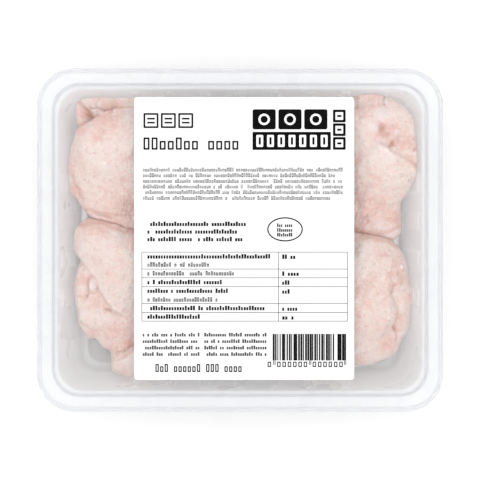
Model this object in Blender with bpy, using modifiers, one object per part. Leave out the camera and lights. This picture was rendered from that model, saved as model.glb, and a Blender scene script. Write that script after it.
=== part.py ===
# A sealed tray of four raw, folded chicken wings under clear film, with a label on the film.
# Lengths below are in millimetres, and MM turns them into metres as each mesh is made.
# +X runs along the tray, +Y to its far side, +Z up; the origin is under the middle of the tray.
import math

import bmesh
import bpy
import numpy as np

MM = 0.001

# The thermoformed tray
TRAY_LENGTH = 214
TRAY_WIDTH = 181
TRAY_HEIGHT = 39.4
OUTER_CORNER = 20
SHEET = 0.7

LIP_DROP = 2.2
FLANGE_WIDTH = 8.1
STEP_DEPTH = 1.2
RIM_INSET = 11.0
WALL_FOOT_INSET = 14.8
FLOOR_INSET = 19.2
PANEL_INSET = 25.0
PANEL_RISE = 0.7

# The ribs pressed into the walls: pitch, count and width on the end walls and on the long walls
RIB_DEPTH = 0.9
RIB_FLANK = 1.5
END_RIBS = {"pitch": 20.6, "count": 4, "width": 11.0}
LONG_RIBS = {"pitch": 18.7, "count": 7, "width": 6.0}
CORNER_STEPS = 6

# The lidding film and the label stuck on it
AIR_GAP = 0.3
FILM_INSET = 1.8
FILM_THICKNESS = 0.2
LABEL_LENGTH = 115.8
LABEL_WIDTH = 148.8
LABEL_CORNER = 1.6
LABEL_THICKNESS = 0.2
LABEL_CENTRE = (2.2, 0.8)

# Each row of the tray's section: inset from the outer edge, height, corner radius, share of rib depth
TRAY_SECTION = [
    (0, TRAY_HEIGHT - LIP_DROP, OUTER_CORNER, 0),
    (0, TRAY_HEIGHT - 0.5, OUTER_CORNER, 0),
    (0.5, TRAY_HEIGHT, OUTER_CORNER - 0.5, 0),
    (FLANGE_WIDTH, TRAY_HEIGHT, 14.5, 0),
    (FLANGE_WIDTH + 0.4, TRAY_HEIGHT - STEP_DEPTH, 14.2, 0),
    (RIM_INSET, TRAY_HEIGHT - STEP_DEPTH - 0.3, 13.5, 0),
    (RIM_INSET + 0.6, 35.0, 13.4, 0),
    (RIM_INSET + 0.9, 32.0, 13.2, 1),
    (WALL_FOOT_INSET, 7.5, 12.0, 1),
    (WALL_FOOT_INSET + 1.2, SHEET + 2.6, 11.4, 0.5),
    (FLOOR_INSET, SHEET, 9.0, 0),
    (PANEL_INSET - 1.5, SHEET, 7.5, 0),
    (PANEL_INSET, SHEET + PANEL_RISE, 7.0, 0),
]

# The wings lie this far off the tray and off each other
WING_GAP = 0.6
WING_REST = SHEET + PANEL_RISE + 0.4
# A wing is a cube-sphere with this many edges a side, drawn out to about these half sizes
WING_EDGES = 15
WING_SPREAD = (45, 32, 20)

# A wing is a run of lobes, each blended into the ones before it over a width:
# lump (blend, centre, half sizes, turn about Z), roll (blend, path, radii at its points),
# or scoop, which hollows the form as a lump would fill it.
# A fold (width, path seen from above, height, reach) lifts the skin on the left of its path.
WINGS = {
    "wing_left_back": {
        "heart": (-52, 40, 14),
        "lobes": [
            ("lump", 8, (-64, 41, 14.5), (29.5, 31, 17.5), 0),
            ("lump", 10, (-34, 39, 13), (30, 27, 15), 0),
            ("lump", 9, (-70, 55, 16), (19, 17, 14.5), 0),
            ("roll", 3, [(-88, 47, 15), (-89, 34, 19), (-86, 23, 17), (-78, 15, 12)], [3, 5, 5, 4]),
            ("roll", 3, [(-84, 73, 23.5), (-74, 74, 25), (-56, 72, 25), (-34, 62, 20)], [3.4, 3.2, 4.0, 8]),
            ("roll", 3, [(-84.5, 72, 20), (-84, 61, 14)], [3.8, 5.0]),
            ("fold", 2.4, [(-91, 38), (-88, 29), (-84, 21)], 1.2, 10),
        ],
    },
    "wing_left_front": {
        "heart": (-54, -22, 14),
        "lobes": [
            ("lump", 4, (-75.5, -3.5, 14), (14.5, 14, 15), 0),
            ("lump", 7, (-58, -17, 16), (23, 25, 16.5), -30),
            ("lump", 10, (-33, -30, 13), (31, 26, 15), 0),
            ("lump", 2, (-85, -25, 12.5), (6.5, 14, 11.5), 4),
            ("lump", 2, (-76, -38, 14), (12, 14, 12.5), 12),
            ("lump", 3, (-68, -47, 13), (15, 13, 12.5), -25),
            ("roll", 2, [(-63, -67, 9.5), (-50, -56, 12)], [7.5, 11]),
            ("fold", 2.4, [(-86, -11), (-80, -19), (-75, -27), (-69, -37.5), (-52.5, -49)], 2.2, 12),
        ],
    },
    "wing_right_back": {
        "heart": (60, 38, 14),
        "lobes": [
            ("lump", 6, (70, 34, 16), (23.5, 23, 17), -35),
            ("lump", 3, (82, 58, 20), (11.5, 19, 12.5), 10),
            ("lump", 4, (70, 67, 19), (15, 10, 12), 0),
            ("lump", 3, (90, 46, 24), (6.5, 14, 11), 10),
            ("lump", 4, (74, 14, 12), (13.5, 12.5, 13.5), 0),
            ("lump", 10, (36, 40, 13), (32, 29, 15), 0),
            ("scoop", 3, (76, 58.5, 34), (4.4, 5.0, 4.0), 0),
            ("fold", 2.4, [(94.5, 35), (91, 41), (79, 48.5), (60, 58)], 2.2, 12),
        ],
    },
    "wing_right_front": {
        "heart": (56, -33, 14),
        "lobes": [
            ("lump", 6, (65, -31, 15.5), (22, 35, 18), 3),
            ("lump", 3, (78, -14, 14), (13, 13, 14), 0),
            ("roll", 2, [(80, -8, 12), (86, -17, 13), (87, -32, 13), (84.5, -44, 12), (79.5, -55, 11)],
             [5, 6.5, 7.5, 6.5, 6]),
            ("lump", 10, (34, -34, 13), (32, 29, 15), 0),
            ("fold", 2.4, [(82.5, -46.5), (84, -38), (80.5, -29.5), (76.5, -26)], 1.8, 10),
        ],
    },
}
# Folds fade out under this height, and beyond this distance from their path
FOLD_FOOT = (9, 18)
FOLD_FADE = (25, 35)

# Broad unevenness of the flesh: wavelength and height of each family of waves
WAVE_FAMILIES = [(34, 0.9), (24, 0.6), (17, 0.35)]
WAVES_PER_FAMILY = 4
WAVE_SEED = 7

PLASTIC = {"color": (0.82, 0.82, 0.83), "roughness": 0.3, "alpha": 0.55}
FILM = {"color": (0.95, 0.96, 0.97), "roughness": 0.08, "alpha": 0.15}
PAPER = {"color": (0.96, 0.96, 0.96), "roughness": 0.55, "alpha": 1}
SKIN = {"color": (0.80, 0.62, 0.56), "roughness": 0.42, "alpha": 1}


def clear_scene():
    for thing in list(bpy.data.objects):
        bpy.data.objects.remove(thing, do_unlink=True)


def parts_collection():
    group = bpy.data.collections.new("chicken_wing_pack")
    bpy.context.scene.collection.children.link(group)
    return group


def material(name, look):
    made = bpy.data.materials.new(name)
    made.use_nodes = True
    surface = made.node_tree.nodes["Principled BSDF"]
    surface.inputs["Base Color"].default_value = (*look["color"], 1)
    surface.inputs["Roughness"].default_value = look["roughness"]
    surface.inputs["Metallic"].default_value = 0
    surface.inputs["Alpha"].default_value = look["alpha"]
    return made


def finish_object(group, name, data, look):
    data.materials.append(material(name + "_finish", look))
    made = bpy.data.objects.new(name, data)
    group.objects.link(made)
    return made


def mesh_from(shape, name):
    data = bpy.data.meshes.new(name)
    shape.to_mesh(data)
    shape.free()
    return data


# Outlines

def wall_points(half_out, ribs, depth):
    # One straight wall as pairs of (distance out, place along it)
    first = -ribs["pitch"] * (ribs["count"] - 1) / 2
    half = ribs["width"] / 2
    points = []
    for index in range(ribs["count"]):
        middle = first + index * ribs["pitch"]
        points.append((half_out, middle - half))
        points.append((half_out - depth, middle - half + RIB_FLANK))
        points.append((half_out - depth, middle + half - RIB_FLANK))
        points.append((half_out, middle + half))
    return points


def rounded_outline(half_x, half_y, radius, rib_depth=None):
    # Anticlockwise round a rectangle with round corners, with ribs on its walls if a depth is given
    points = []
    for side in range(4):
        long_wall = side % 2 == 1
        half_out = half_y if long_wall else half_x
        half_along = half_x if long_wall else half_y
        local = []
        if rib_depth is not None:
            local += wall_points(half_out, LONG_RIBS if long_wall else END_RIBS, rib_depth)
        for step in range(CORNER_STEPS + 1):
            angle = math.pi / 2 * step / CORNER_STEPS
            local.append((half_out - radius + radius * math.cos(angle),
                          half_along - radius + radius * math.sin(angle)))
        turn = math.pi / 2 * side
        for out, along in local:
            points.append((out * math.cos(turn) - along * math.sin(turn),
                           out * math.sin(turn) + along * math.cos(turn)))
    return points


# The tray, a formed sheet

def build_tray(group):
    shape = bmesh.new()
    rings = []
    for inset, height, radius, rib in TRAY_SECTION:
        points = rounded_outline(TRAY_LENGTH / 2 - inset, TRAY_WIDTH / 2 - inset, radius, rib * RIB_DEPTH)
        rings.append([shape.verts.new((x * MM, y * MM, height * MM)) for x, y in points])
    for outer, inner in zip(rings, rings[1:]):
        for index in range(len(outer)):
            following = (index + 1) % len(outer)
            shape.faces.new((outer[index], outer[following], inner[following], inner[index]))
    shape.faces.new(rings[-1])
    tray = finish_object(group, "tray", mesh_from(shape, "tray"), PLASTIC)
    shell = tray.modifiers.new("sheet", "SOLIDIFY")
    shell.thickness = SHEET * MM
    shell.offset = -1
    shell.use_even_offset = True
    return tray


# The film and the label, flat sheets

def build_sheet(group, name, half_x, half_y, radius, thickness, centre, look):
    outline = bpy.data.curves.new(name, "CURVE")
    outline.dimensions = "2D"
    outline.fill_mode = "BOTH"
    outline.extrude = thickness / 2 * MM
    points = rounded_outline(half_x, half_y, radius)
    spline = outline.splines.new("POLY")
    spline.points.add(len(points) - 1)
    for point, (x, y) in zip(spline.points, points):
        point.co = (x * MM, y * MM, 0, 1)
    spline.use_cyclic_u = True
    sheet = finish_object(group, name, outline, look)
    sheet.location = [value * MM for value in centre]
    return sheet


# The wings, blended lobes

def turned(points, degrees):
    cosine = math.cos(math.radians(degrees))
    sine = math.sin(math.radians(degrees))
    return points @ np.array([[cosine, -sine, 0], [sine, cosine, 0], [0, 0, 1]])


def lump_distance(points, centre, half_sizes, turn):
    local = turned(points - np.array(centre), turn)
    sizes = np.array(half_sizes, float)
    scaled = np.linalg.norm(local / sizes, axis=1)
    slope = np.linalg.norm(local / sizes ** 2, axis=1) + 1e-9
    return scaled * (scaled - 1) / slope


def roll_distance(points, path, radii):
    nearest = np.full(len(points), np.inf)
    for index in range(len(path) - 1):
        start = np.array(path[index], float)
        run = np.array(path[index + 1], float) - start
        share = np.clip((points - start) @ run / (run @ run), 0, 1)
        radius = radii[index] + (radii[index + 1] - radii[index]) * share
        away = np.linalg.norm(points - start - share[:, None] * run, axis=1)
        nearest = np.minimum(nearest, away - radius)
    return nearest


def ease(share):
    share = np.clip(share, 0, 1)
    return share * share * (3 - 2 * share)


def fold_lift(points, path, width, height, reach):
    nearest = np.full(len(points), np.inf)
    side = np.ones(len(points))
    for start, end in zip(path, path[1:]):
        run = np.array(end, float) - start
        local = points[:, :2] - np.array(start)
        share = np.clip(local @ run / (run @ run), 0, 1)
        away = np.linalg.norm(local - share[:, None] * run, axis=1)
        across = np.sign(run[0] * local[:, 1] - run[1] * local[:, 0] + 1e-9)
        side = np.where(away < nearest, across, side)
        nearest = np.minimum(away, nearest)
    signed = side * nearest
    raised = ease(0.5 + signed / width / 2) * np.exp(-np.maximum(signed, 0) / reach)
    on_top = ease((points[:, 2] - FOLD_FOOT[0]) / (FOLD_FOOT[1] - FOLD_FOOT[0]))
    fading = ease((FOLD_FADE[1] - nearest) / (FOLD_FADE[1] - FOLD_FADE[0]))
    return height * raised * on_top * fading


def blend(first, second, width):
    overlap = np.maximum(width - np.abs(first - second), 0) / width
    return np.minimum(first, second) - overlap ** 2 * width / 4


def flesh_waves():
    draw = np.random.default_rng(WAVE_SEED)
    waves = []
    for length, height in WAVE_FAMILIES:
        for _ in range(WAVES_PER_FAMILY):
            heading = draw.normal(size=3)
            heading *= 2 * math.pi / length / np.linalg.norm(heading)
            waves.append((heading, draw.uniform(0, 2 * math.pi), height / 2))
    return waves


def lobes_distance(points, lobes, waves):
    # Under zero inside the flesh, and about the distance to its surface outside
    total = np.full(len(points), 1e3)
    for kind, width, *shape in lobes:
        if kind == "lump":
            total = blend(total, lump_distance(points, *shape), width)
        elif kind == "roll":
            total = blend(total, roll_distance(points, *shape), width)
        elif kind == "fold":
            path, height, reach = shape
            total = total - fold_lift(points, path, width, height, reach)
        else:
            total = -blend(-total, lump_distance(points, *shape), width)
    for heading, phase, height in waves:
        total = total + height * np.sin(points @ heading + phase)
    return total


def tray_distance(points):
    # Over zero where a point is closer to the tray's wall or floor than the wings may come
    rows = [row for row in TRAY_SECTION if row[1] <= 35.0][::-1]
    heights = [row[1] for row in rows]
    inset = np.interp(points[:, 2], heights, [row[0] for row in rows]) + RIB_DEPTH + WING_GAP
    radius = np.interp(points[:, 2], heights, [row[2] for row in rows])
    beyond_x = np.abs(points[:, 0]) - (TRAY_LENGTH / 2 - inset - radius)
    beyond_y = np.abs(points[:, 1]) - (TRAY_WIDTH / 2 - inset - radius)
    corner = np.hypot(np.maximum(beyond_x, 0), np.maximum(beyond_y, 0))
    wall = corner + np.minimum(np.maximum(beyond_x, beyond_y), 0) - radius
    return np.maximum(wall, WING_REST - points[:, 2])


def surface_reach(heart, rays, distance):
    # How far each ray runs from the heart to the outermost surface
    steps = np.arange(2, 62, 0.75)
    inside = np.zeros((len(rays), len(steps)), bool)
    for column, reach in enumerate(steps):
        inside[:, column] = distance(heart + rays * reach) < 0
    last = len(steps) - 1 - np.argmax(inside[:, ::-1], axis=1)
    near = steps[last]
    far = near + 0.75
    for _ in range(14):
        middle = (near + far) / 2
        within = distance(heart + rays * middle[:, None]) < 0
        near = np.where(within, middle, near)
        far = np.where(within, far, middle)
    return near


def build_wing(group, name, distance):
    heart = np.array(WINGS[name]["heart"], float)
    shape = bmesh.new()
    bmesh.ops.create_cube(shape, size=2)
    bmesh.ops.subdivide_edges(shape, edges=shape.edges[:], cuts=WING_EDGES - 1, use_grid_fill=True)
    round_points = np.array([vert.co.normalized()[:] for vert in shape.verts])
    rays = round_points * np.array(WING_SPREAD)
    rays /= np.linalg.norm(rays, axis=1)[:, None]
    reach = surface_reach(heart, rays, distance)
    for vert, place in zip(shape.verts, heart + rays * reach[:, None]):
        vert.co = place * MM
    for face in shape.faces:
        face.smooth = True
    return finish_object(group, name, mesh_from(shape, name), SKIN)


def build_wings(group):
    waves = flesh_waves()
    placed = []
    for name, wing in WINGS.items():
        neighbours = list(placed)

        def distance(points, lobes=wing["lobes"], neighbours=neighbours):
            total = np.maximum(lobes_distance(points, lobes, waves), tray_distance(points))
            for other in neighbours:
                total = np.maximum(total, WING_GAP - lobes_distance(points, other, waves))
            return total

        build_wing(group, name, distance)
        placed.append(wing["lobes"])


def main():
    clear_scene()
    group = parts_collection()
    build_tray(group)
    build_wings(group)
    film_middle = TRAY_HEIGHT + AIR_GAP + FILM_THICKNESS / 2
    build_sheet(group, "film", TRAY_LENGTH / 2 - FILM_INSET, TRAY_WIDTH / 2 - FILM_INSET,
                OUTER_CORNER - FILM_INSET, FILM_THICKNESS, (0, 0, film_middle), FILM)
    label_middle = film_middle + FILM_THICKNESS / 2 + AIR_GAP + LABEL_THICKNESS / 2
    build_sheet(group, "label", LABEL_LENGTH / 2, LABEL_WIDTH / 2, LABEL_CORNER, LABEL_THICKNESS,
                (*LABEL_CENTRE, label_middle), PAPER)


main()
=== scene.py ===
import math

import bmesh
import bpy
import numpy as np
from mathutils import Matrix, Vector


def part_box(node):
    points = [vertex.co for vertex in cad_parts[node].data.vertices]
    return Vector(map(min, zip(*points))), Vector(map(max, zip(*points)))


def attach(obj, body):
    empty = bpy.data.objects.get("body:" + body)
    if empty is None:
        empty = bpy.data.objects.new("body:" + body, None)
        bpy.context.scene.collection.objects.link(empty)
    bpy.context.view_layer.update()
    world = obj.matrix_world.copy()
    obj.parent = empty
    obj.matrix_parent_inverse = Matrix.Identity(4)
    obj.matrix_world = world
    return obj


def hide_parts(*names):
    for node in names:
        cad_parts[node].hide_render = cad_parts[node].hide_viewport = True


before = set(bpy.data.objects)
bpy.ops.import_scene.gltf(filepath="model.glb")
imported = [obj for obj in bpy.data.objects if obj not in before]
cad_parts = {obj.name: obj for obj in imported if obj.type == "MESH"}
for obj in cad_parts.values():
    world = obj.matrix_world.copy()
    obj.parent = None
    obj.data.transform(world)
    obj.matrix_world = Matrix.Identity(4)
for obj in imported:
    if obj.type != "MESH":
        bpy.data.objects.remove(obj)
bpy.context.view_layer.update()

# Raw chicken wings in a sealed, see-through tray with a label, seen from straight above.
# Sizes are in millimetres, and mm turns them into Blender's metres as a mesh is made.
# +X runs to the right of the label's print, +Y to its top, +Z up through the film.
mm = 0.001
bpy.context.scene.view_settings.view_transform = "Standard"


# Node helpers

def addNode(tree, kind, inputs=None, **settings):
    made = tree.nodes.new(kind)
    for name, value in settings.items():
        setattr(made, name, value)
    for key, value in (inputs or {}).items():
        if isinstance(value, bpy.types.NodeSocket):
            tree.links.new(value, made.inputs[key])
        else:
            made.inputs[key].default_value = value
    return made


def calc(tree, operation, first, second=0.0):
    return addNode(tree, "ShaderNodeMath", {0: first, 1: second}, operation=operation).outputs[0]


def ramp(tree, value, low, high, start=0.0, end=1.0):
    # Eased step from start to end as the value goes from low to high
    eased = addNode(tree, "ShaderNodeMapRange", {0: value, 1: low, 2: high, 3: start, 4: end})
    eased.interpolation_type = "SMOOTHSTEP"
    return eased.outputs[0]


def newTree(name, sizes):
    # A geometry tree with a mesh in, a mesh out and one named input for each size
    tree = bpy.data.node_groups.new(name, "GeometryNodeTree")
    tree.interface.new_socket("Geometry", in_out="INPUT", socket_type="NodeSocketGeometry")
    tree.interface.new_socket("Geometry", in_out="OUTPUT", socket_type="NodeSocketGeometry")
    for label, kind in sizes.items():
        tree.interface.new_socket(label, in_out="INPUT", socket_type="NodeSocket" + kind)
    return tree, tree.nodes.new("NodeGroupInput").outputs


def closeTree(tree, geometry, finish):
    solid = addNode(tree, "GeometryNodeRealizeInstances", {0: geometry})
    dressed = addNode(tree, "GeometryNodeSetMaterial", {0: solid.outputs[0], "Material": finish})
    addNode(tree, "NodeGroupOutput", {0: dressed.outputs[0]})


def runTree(obj, tree, values):
    # Puts the tree on the object, sets its named inputs, and turns the result into a plain mesh
    worker = obj.modifiers.new(tree.name, "NODES")
    worker.node_group = tree
    for socket in tree.interface.items_tree:
        if socket.item_type == "SOCKET" and socket.in_out == "INPUT" and socket.name in values:
            worker[socket.identifier] = values[socket.name]
    depsgraph = bpy.context.evaluated_depsgraph_get()
    solid = bpy.data.meshes.new_from_object(obj.evaluated_get(depsgraph), preserve_all_data_layers=True,
                                            depsgraph=depsgraph)
    obj.modifiers.remove(worker)
    obj.data = solid
    return obj


def placePiece(name, mesh):
    piece = bpy.data.objects.new(name, mesh)
    bpy.context.scene.collection.objects.link(piece)
    return piece


def storeValues(mesh, name, values):
    layer = mesh.attributes.new(name, "FLOAT", "POINT")
    layer.data.foreach_set("value", np.asarray(values, np.float32))


def smoothFaces(mesh):
    for face in mesh.polygons:
        face.use_smooth = True


def keepPiece(piece, slot, *nodes):
    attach(piece, "root")
    if nodes:
        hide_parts(*nodes)


# Materials

def newFinish(name, color, roughness, **sockets):
    finish = bpy.data.materials.new(name)
    finish.use_nodes = True
    surface = finish.node_tree.nodes["Principled BSDF"]
    surface.inputs["Base Color"].default_value = (*color, 1)
    surface.inputs["Roughness"].default_value = roughness
    for label, value in sockets.items():
        surface.inputs[label].default_value = value
    return finish, finish.node_tree, surface


def objectPlace(tree, stretch=(1, 1, 1), turn=0):
    place = tree.nodes.new("ShaderNodeTexCoord").outputs["Object"]
    mapping = addNode(tree, "ShaderNodeMapping", {"Vector": place, "Scale": stretch})
    mapping.inputs["Rotation"].default_value = (0, 0, math.radians(turn))
    return mapping.outputs[0]


def noiseOf(tree, place, scale, detail=3, roughness=0.5):
    return addNode(tree, "ShaderNodeTexNoise", {"Vector": place, "Scale": scale, "Detail": detail,
                                                "Roughness": roughness}).outputs["Fac"]


def mixColor(tree, share, first, second):
    mixed = addNode(tree, "ShaderNodeMix", {0: share}, data_type="RGBA")
    for key, value in ((6, first), (7, second)):
        if isinstance(value, bpy.types.NodeSocket):
            tree.links.new(value, mixed.inputs[key])
        else:
            mixed.inputs[key].default_value = (*value, 1)
    return mixed.outputs[2]


def bumpFrom(tree, surface, height, strength, distance):
    bump = addNode(tree, "ShaderNodeBump", {"Height": height, "Strength": strength, "Distance": distance})
    tree.links.new(bump.outputs[0], surface.inputs["Normal"])


def trayFinish():
    finish, tree, surface = newFinish("milky_tray", (0.86, 0.865, 0.88), 0.3, Alpha=0.4)
    surface.inputs["Subsurface Weight"].default_value = 0.7
    surface.inputs["Subsurface Radius"].default_value = (1, 1, 1)
    surface.inputs["Subsurface Scale"].default_value = 0.004
    place = objectPlace(tree)
    cloud = noiseOf(tree, place, 35, 2)
    fine = noiseOf(tree, place, 900, 3)
    # inset is the way in from the outer edge, in millimetres; the step and the bead get painted shade, thin
    # dark lines where the sheet is seen edge-on
    inset = addNode(tree, "ShaderNodeAttribute", attribute_name="inset").outputs["Fac"]
    ribHighlight = addNode(tree, "ShaderNodeAttribute", attribute_name="ribHighlight").outputs["Fac"]
    flange = mixColor(tree, cloud, (0.85, 0.87, 0.925), (0.88, 0.90, 0.95))
    # The wall's colour is faintly pink: painted pink light bounced from the wings
    wall = mixColor(tree, cloud, (0.885, 0.865, 0.87), (0.915, 0.895, 0.90))
    color = mixColor(tree, ramp(tree, inset, 10.5, 12.0), flange, wall)
    # Painted shade: dark lines at the step and the bead, where the sheet turns edge-on
    step = calc(tree, "MULTIPLY", ramp(tree, inset, 8.0, 8.4), ramp(tree, inset, 9.0, 9.3, 1.0, 0.0))
    bead = calc(tree, "MULTIPLY", ramp(tree, inset, 1.1, 1.4), ramp(tree, inset, 2.2, 2.5, 0.6, 0.0))
    paintedEdgeShade = calc(tree, "MULTIPLY", calc(tree, "MAXIMUM", step, bead), 0.65)
    color = mixColor(tree, paintedEdgeShade, color, (0.5, 0.52, 0.56))
    # Darker grey over the floor, from the foot of the wall inwards
    color = mixColor(tree, ramp(tree, inset, 17.4, 18.0, 0.0, 0.3), color, (0.62, 0.62, 0.63))
    # Painted highlight along the ribs' flanks
    color = mixColor(tree, ribHighlight, color, (0.98, 0.98, 0.985))
    tree.links.new(color, surface.inputs["Base Color"])
    tree.links.new(ramp(tree, cloud, 0.3, 0.7, 0.26, 0.36), surface.inputs["Roughness"])
    bumpFrom(tree, surface, fine, 0.12, 0.0002)
    return finish


def filmFinish():
    finish, tree, surface = newFinish("lidding_film", (0.97, 0.975, 0.98), 0.38, Alpha=0.05)
    surface.inputs["Specular IOR Level"].default_value = 0.3
    stretch = noiseOf(tree, objectPlace(tree, (1, 0.15, 1), 20), 60, 2)
    bumpFrom(tree, surface, stretch, 0.05, 0.0005)
    return finish


def paperFinish():
    finish, tree, surface = newFinish("label_paper", (0.93, 0.93, 0.93), 0.5)
    place = objectPlace(tree)
    fibre = noiseOf(tree, place, 1400, 4)
    tree.links.new(mixColor(tree, noiseOf(tree, place, 90, 2), (0.92, 0.92, 0.922), (0.94, 0.94, 0.938)),
                   surface.inputs["Base Color"])
    tree.links.new(ramp(tree, fibre, 0.2, 0.8, 0.44, 0.56), surface.inputs["Roughness"])
    bumpFrom(tree, surface, fibre, 0.06, 0.0001)
    return finish


def inkFinish(name, color):
    finish, tree, surface = newFinish(name, color, 0.75)
    surface.inputs["Specular IOR Level"].default_value = 0.03
    patchy = noiseOf(tree, objectPlace(tree), 700, 2)
    tree.links.new(mixColor(tree, patchy, color, tuple(value * 1.35 + 0.004 for value in color)),
                   surface.inputs["Base Color"])
    return finish


def speckle(tree, place, scale, radius, chance):
    # Scattered soft dots: one in each cell, of which only a share is kept
    cells = addNode(tree, "ShaderNodeTexVoronoi", {"Vector": place, "Scale": scale, "Randomness": 1.0})
    drawn = addNode(tree, "ShaderNodeSeparateColor", {0: cells.outputs["Color"]}).outputs[0]
    kept = calc(tree, "LESS_THAN", drawn, chance)
    dots = ramp(tree, cells.outputs["Distance"], radius * 0.4, radius, 1.0, 0.0)
    return calc(tree, "MULTIPLY", dots, kept)


def skinFinish():
    finish, tree, surface = newFinish("raw_chicken_skin", (0.8, 0.66, 0.6), 0.4)
    surface.inputs["Subsurface Weight"].default_value = 0.3
    surface.inputs["Subsurface Radius"].default_value = (1.0, 0.35, 0.2)
    surface.inputs["Subsurface Scale"].default_value = 0.0012
    surface.inputs["Coat Weight"].default_value = 0.2
    surface.inputs["Coat Roughness"].default_value = 0.15
    place = objectPlace(tree)
    shares = {}
    for share in ("pinkAndShadow", "fat", "raw", "creaseShade", "seamShade", "follicle"):
        shares[share] = addNode(tree, "ShaderNodeAttribute", attribute_name=share).outputs["Fac"]
    broad = noiseOf(tree, place, 48, 3, 0.6)
    patches = noiseOf(tree, place, 130, 4, 0.6)
    mottle = noiseOf(tree, place, 420, 3, 0.7)
    # Cream skin turns pinker with the pink places, a few of which are painted shadow of the label, and
    # noise breaks its edges up
    uneven = calc(tree, "MULTIPLY", calc(tree, "SUBTRACT", broad, 0.5), 1.3)
    uneven = calc(tree, "ADD", uneven, calc(tree, "MULTIPLY", calc(tree, "SUBTRACT", patches, 0.5), 1.1))
    pinkness = calc(tree, "ADD", shares["pinkAndShadow"], uneven)
    skin = mixColor(tree, ramp(tree, pinkness, -0.25, 1.05), (0.93, 0.77, 0.71), (0.86, 0.52, 0.455))
    skin = mixColor(tree, ramp(tree, mottle, 0.48, 0.68, 0.0, 0.55), skin, (0.95, 0.85, 0.80))
    skin = mixColor(tree, ramp(tree, mottle, 0.47, 0.28, 0.0, 0.5), skin, (0.70, 0.45, 0.38))
    skin = mixColor(tree, ramp(tree, shares["fat"], 0.1, 0.9), skin, (0.96, 0.85, 0.835))
    skin = mixColor(tree, calc(tree, "MULTIPLY", shares["follicle"], 0.4), skin, (0.92, 0.83, 0.77))
    # Pale dots: pale specks of the skin and painted wet glints
    paleSpecksAndGlints = speckle(tree, place, 520, 0.3, 0.4)
    skin = mixColor(tree, calc(tree, "MULTIPLY", paleSpecksAndGlints, 0.55), skin, (0.97, 0.93, 0.9))
    darkDots = speckle(tree, objectPlace(tree, turn=40), 460, 0.3, 0.3)
    skin = mixColor(tree, calc(tree, "MULTIPLY", darkDots, 0.4), skin, (0.62, 0.40, 0.35))
    # Painted shade in the seams between lobes and where two wings are pressed together
    skin = mixColor(tree, ramp(tree, shares["seamShade"], 0.2, 1.0, 0.0, 0.6), skin, (0.70, 0.38, 0.30))
    # Painted shade down in creases and fold valleys
    skin = mixColor(tree, ramp(tree, shares["creaseShade"], 0.1, 1.0, 0.0, 0.6), skin, (0.60, 0.30, 0.23))
    # Dark red: the flesh's own colour in places, and painted shade in pits, creases, beside folds and in
    # the seams between wings
    skin = mixColor(tree, ramp(tree, shares["raw"], 0.1, 0.9, 0.0, 0.85), skin, (0.62, 0.245, 0.14))
    tree.links.new(skin, surface.inputs["Base Color"])
    tree.links.new(ramp(tree, mottle, 0.3, 0.75, 0.27, 0.5), surface.inputs["Roughness"])
    drawn = objectPlace(tree, (1, 1.6, 1), 35)
    cells = addNode(tree, "ShaderNodeTexVoronoi", {"Vector": drawn, "Scale": 700, "Randomness": 0.9},
                    feature="DISTANCE_TO_EDGE")
    webbed = ramp(tree, cells.outputs["Distance"], 0.0, 0.22)
    relief = calc(tree, "ADD", calc(tree, "MULTIPLY", webbed, 0.6), mottle)
    bumpFrom(tree, surface, relief, 0.8, 0.0005)
    return finish


def floorFinish():
    finish, tree, surface = newFinish("studio_sweep", (0.95, 0.95, 0.95), 0.8)
    grain = noiseOf(tree, objectPlace(tree), 25, 2)
    tree.links.new(mixColor(tree, grain, (0.945, 0.945, 0.945), (0.955, 0.955, 0.955)),
                   surface.inputs["Base Color"])
    return finish


# The tray

traySizes = {
    "cornerRadius": 20, "sheet": 0.7, "lipDrop": 2.2, "flangeWidth": 8.1, "stepDepth": 1.2,
    "rimInset": 11.0, "wallFootInset": 14.8, "floorInset": 19.2, "panelInset": 25.0, "panelRise": 0.7,
    "cornerSteps": 14, "beadDepth": 0.5, "grooveDepth": 0.4,
    "ribDepth": 0.9, "ribFlank": 1.3, "ribFoot": 3.5, "ribHead": 34.5, "ribFade": 3.0,
}
endRibs = {"pitch": 20.6, "count": 4, "width": 11.0}
longRibs = {"pitch": 18.7, "count": 7, "width": 6.0}

trayLow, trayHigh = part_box("tray")
trayLength = (trayHigh[0] - trayLow[0]) / mm
trayWidth = (trayHigh[1] - trayLow[1]) / mm
trayHeight = (trayHigh[2] - trayLow[2]) / mm


def traySection():
    # Inset from the outer edge, height, corner radius, and how far each bend is rounded
    s = traySizes
    floor = s["sheet"]
    shelf = trayHeight - s["stepDepth"]
    return [
        (0.0, trayHeight - s["lipDrop"], s["cornerRadius"], 0),
        (0.0, trayHeight, s["cornerRadius"], 0.5),
        (1.0, trayHeight, 19.0, 0.3),
        (1.4, trayHeight - s["beadDepth"], 18.6, 0.2),
        (2.2, trayHeight - s["beadDepth"], 17.8, 0.2),
        (2.6, trayHeight, 17.4, 0.3),
        (s["flangeWidth"], trayHeight, 14.5, 0.4),
        (s["flangeWidth"] + 0.3, shelf - s["grooveDepth"], 14.3, 0.2),
        (s["flangeWidth"] + 0.9, shelf - s["grooveDepth"], 14.1, 0.2),
        (s["flangeWidth"] + 1.2, shelf, 14.0, 0.2),
        (s["rimInset"], shelf, 13.6, 0.9),
        (s["rimInset"] + 0.8, 34.0, 13.3, 1.5),
        (s["wallFootInset"], 6.0, 12.0, 1.5),
        (s["wallFootInset"] + 0.9, floor, 11.4, 3.2),
        (s["floorInset"] + 3.0, floor, 8.5, 0.6),
        (s["panelInset"], floor + s["panelRise"], 7.0, 0.7),
        (s["panelInset"] + 3.0, floor + s["panelRise"], 6.0, 0),
    ]


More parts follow.
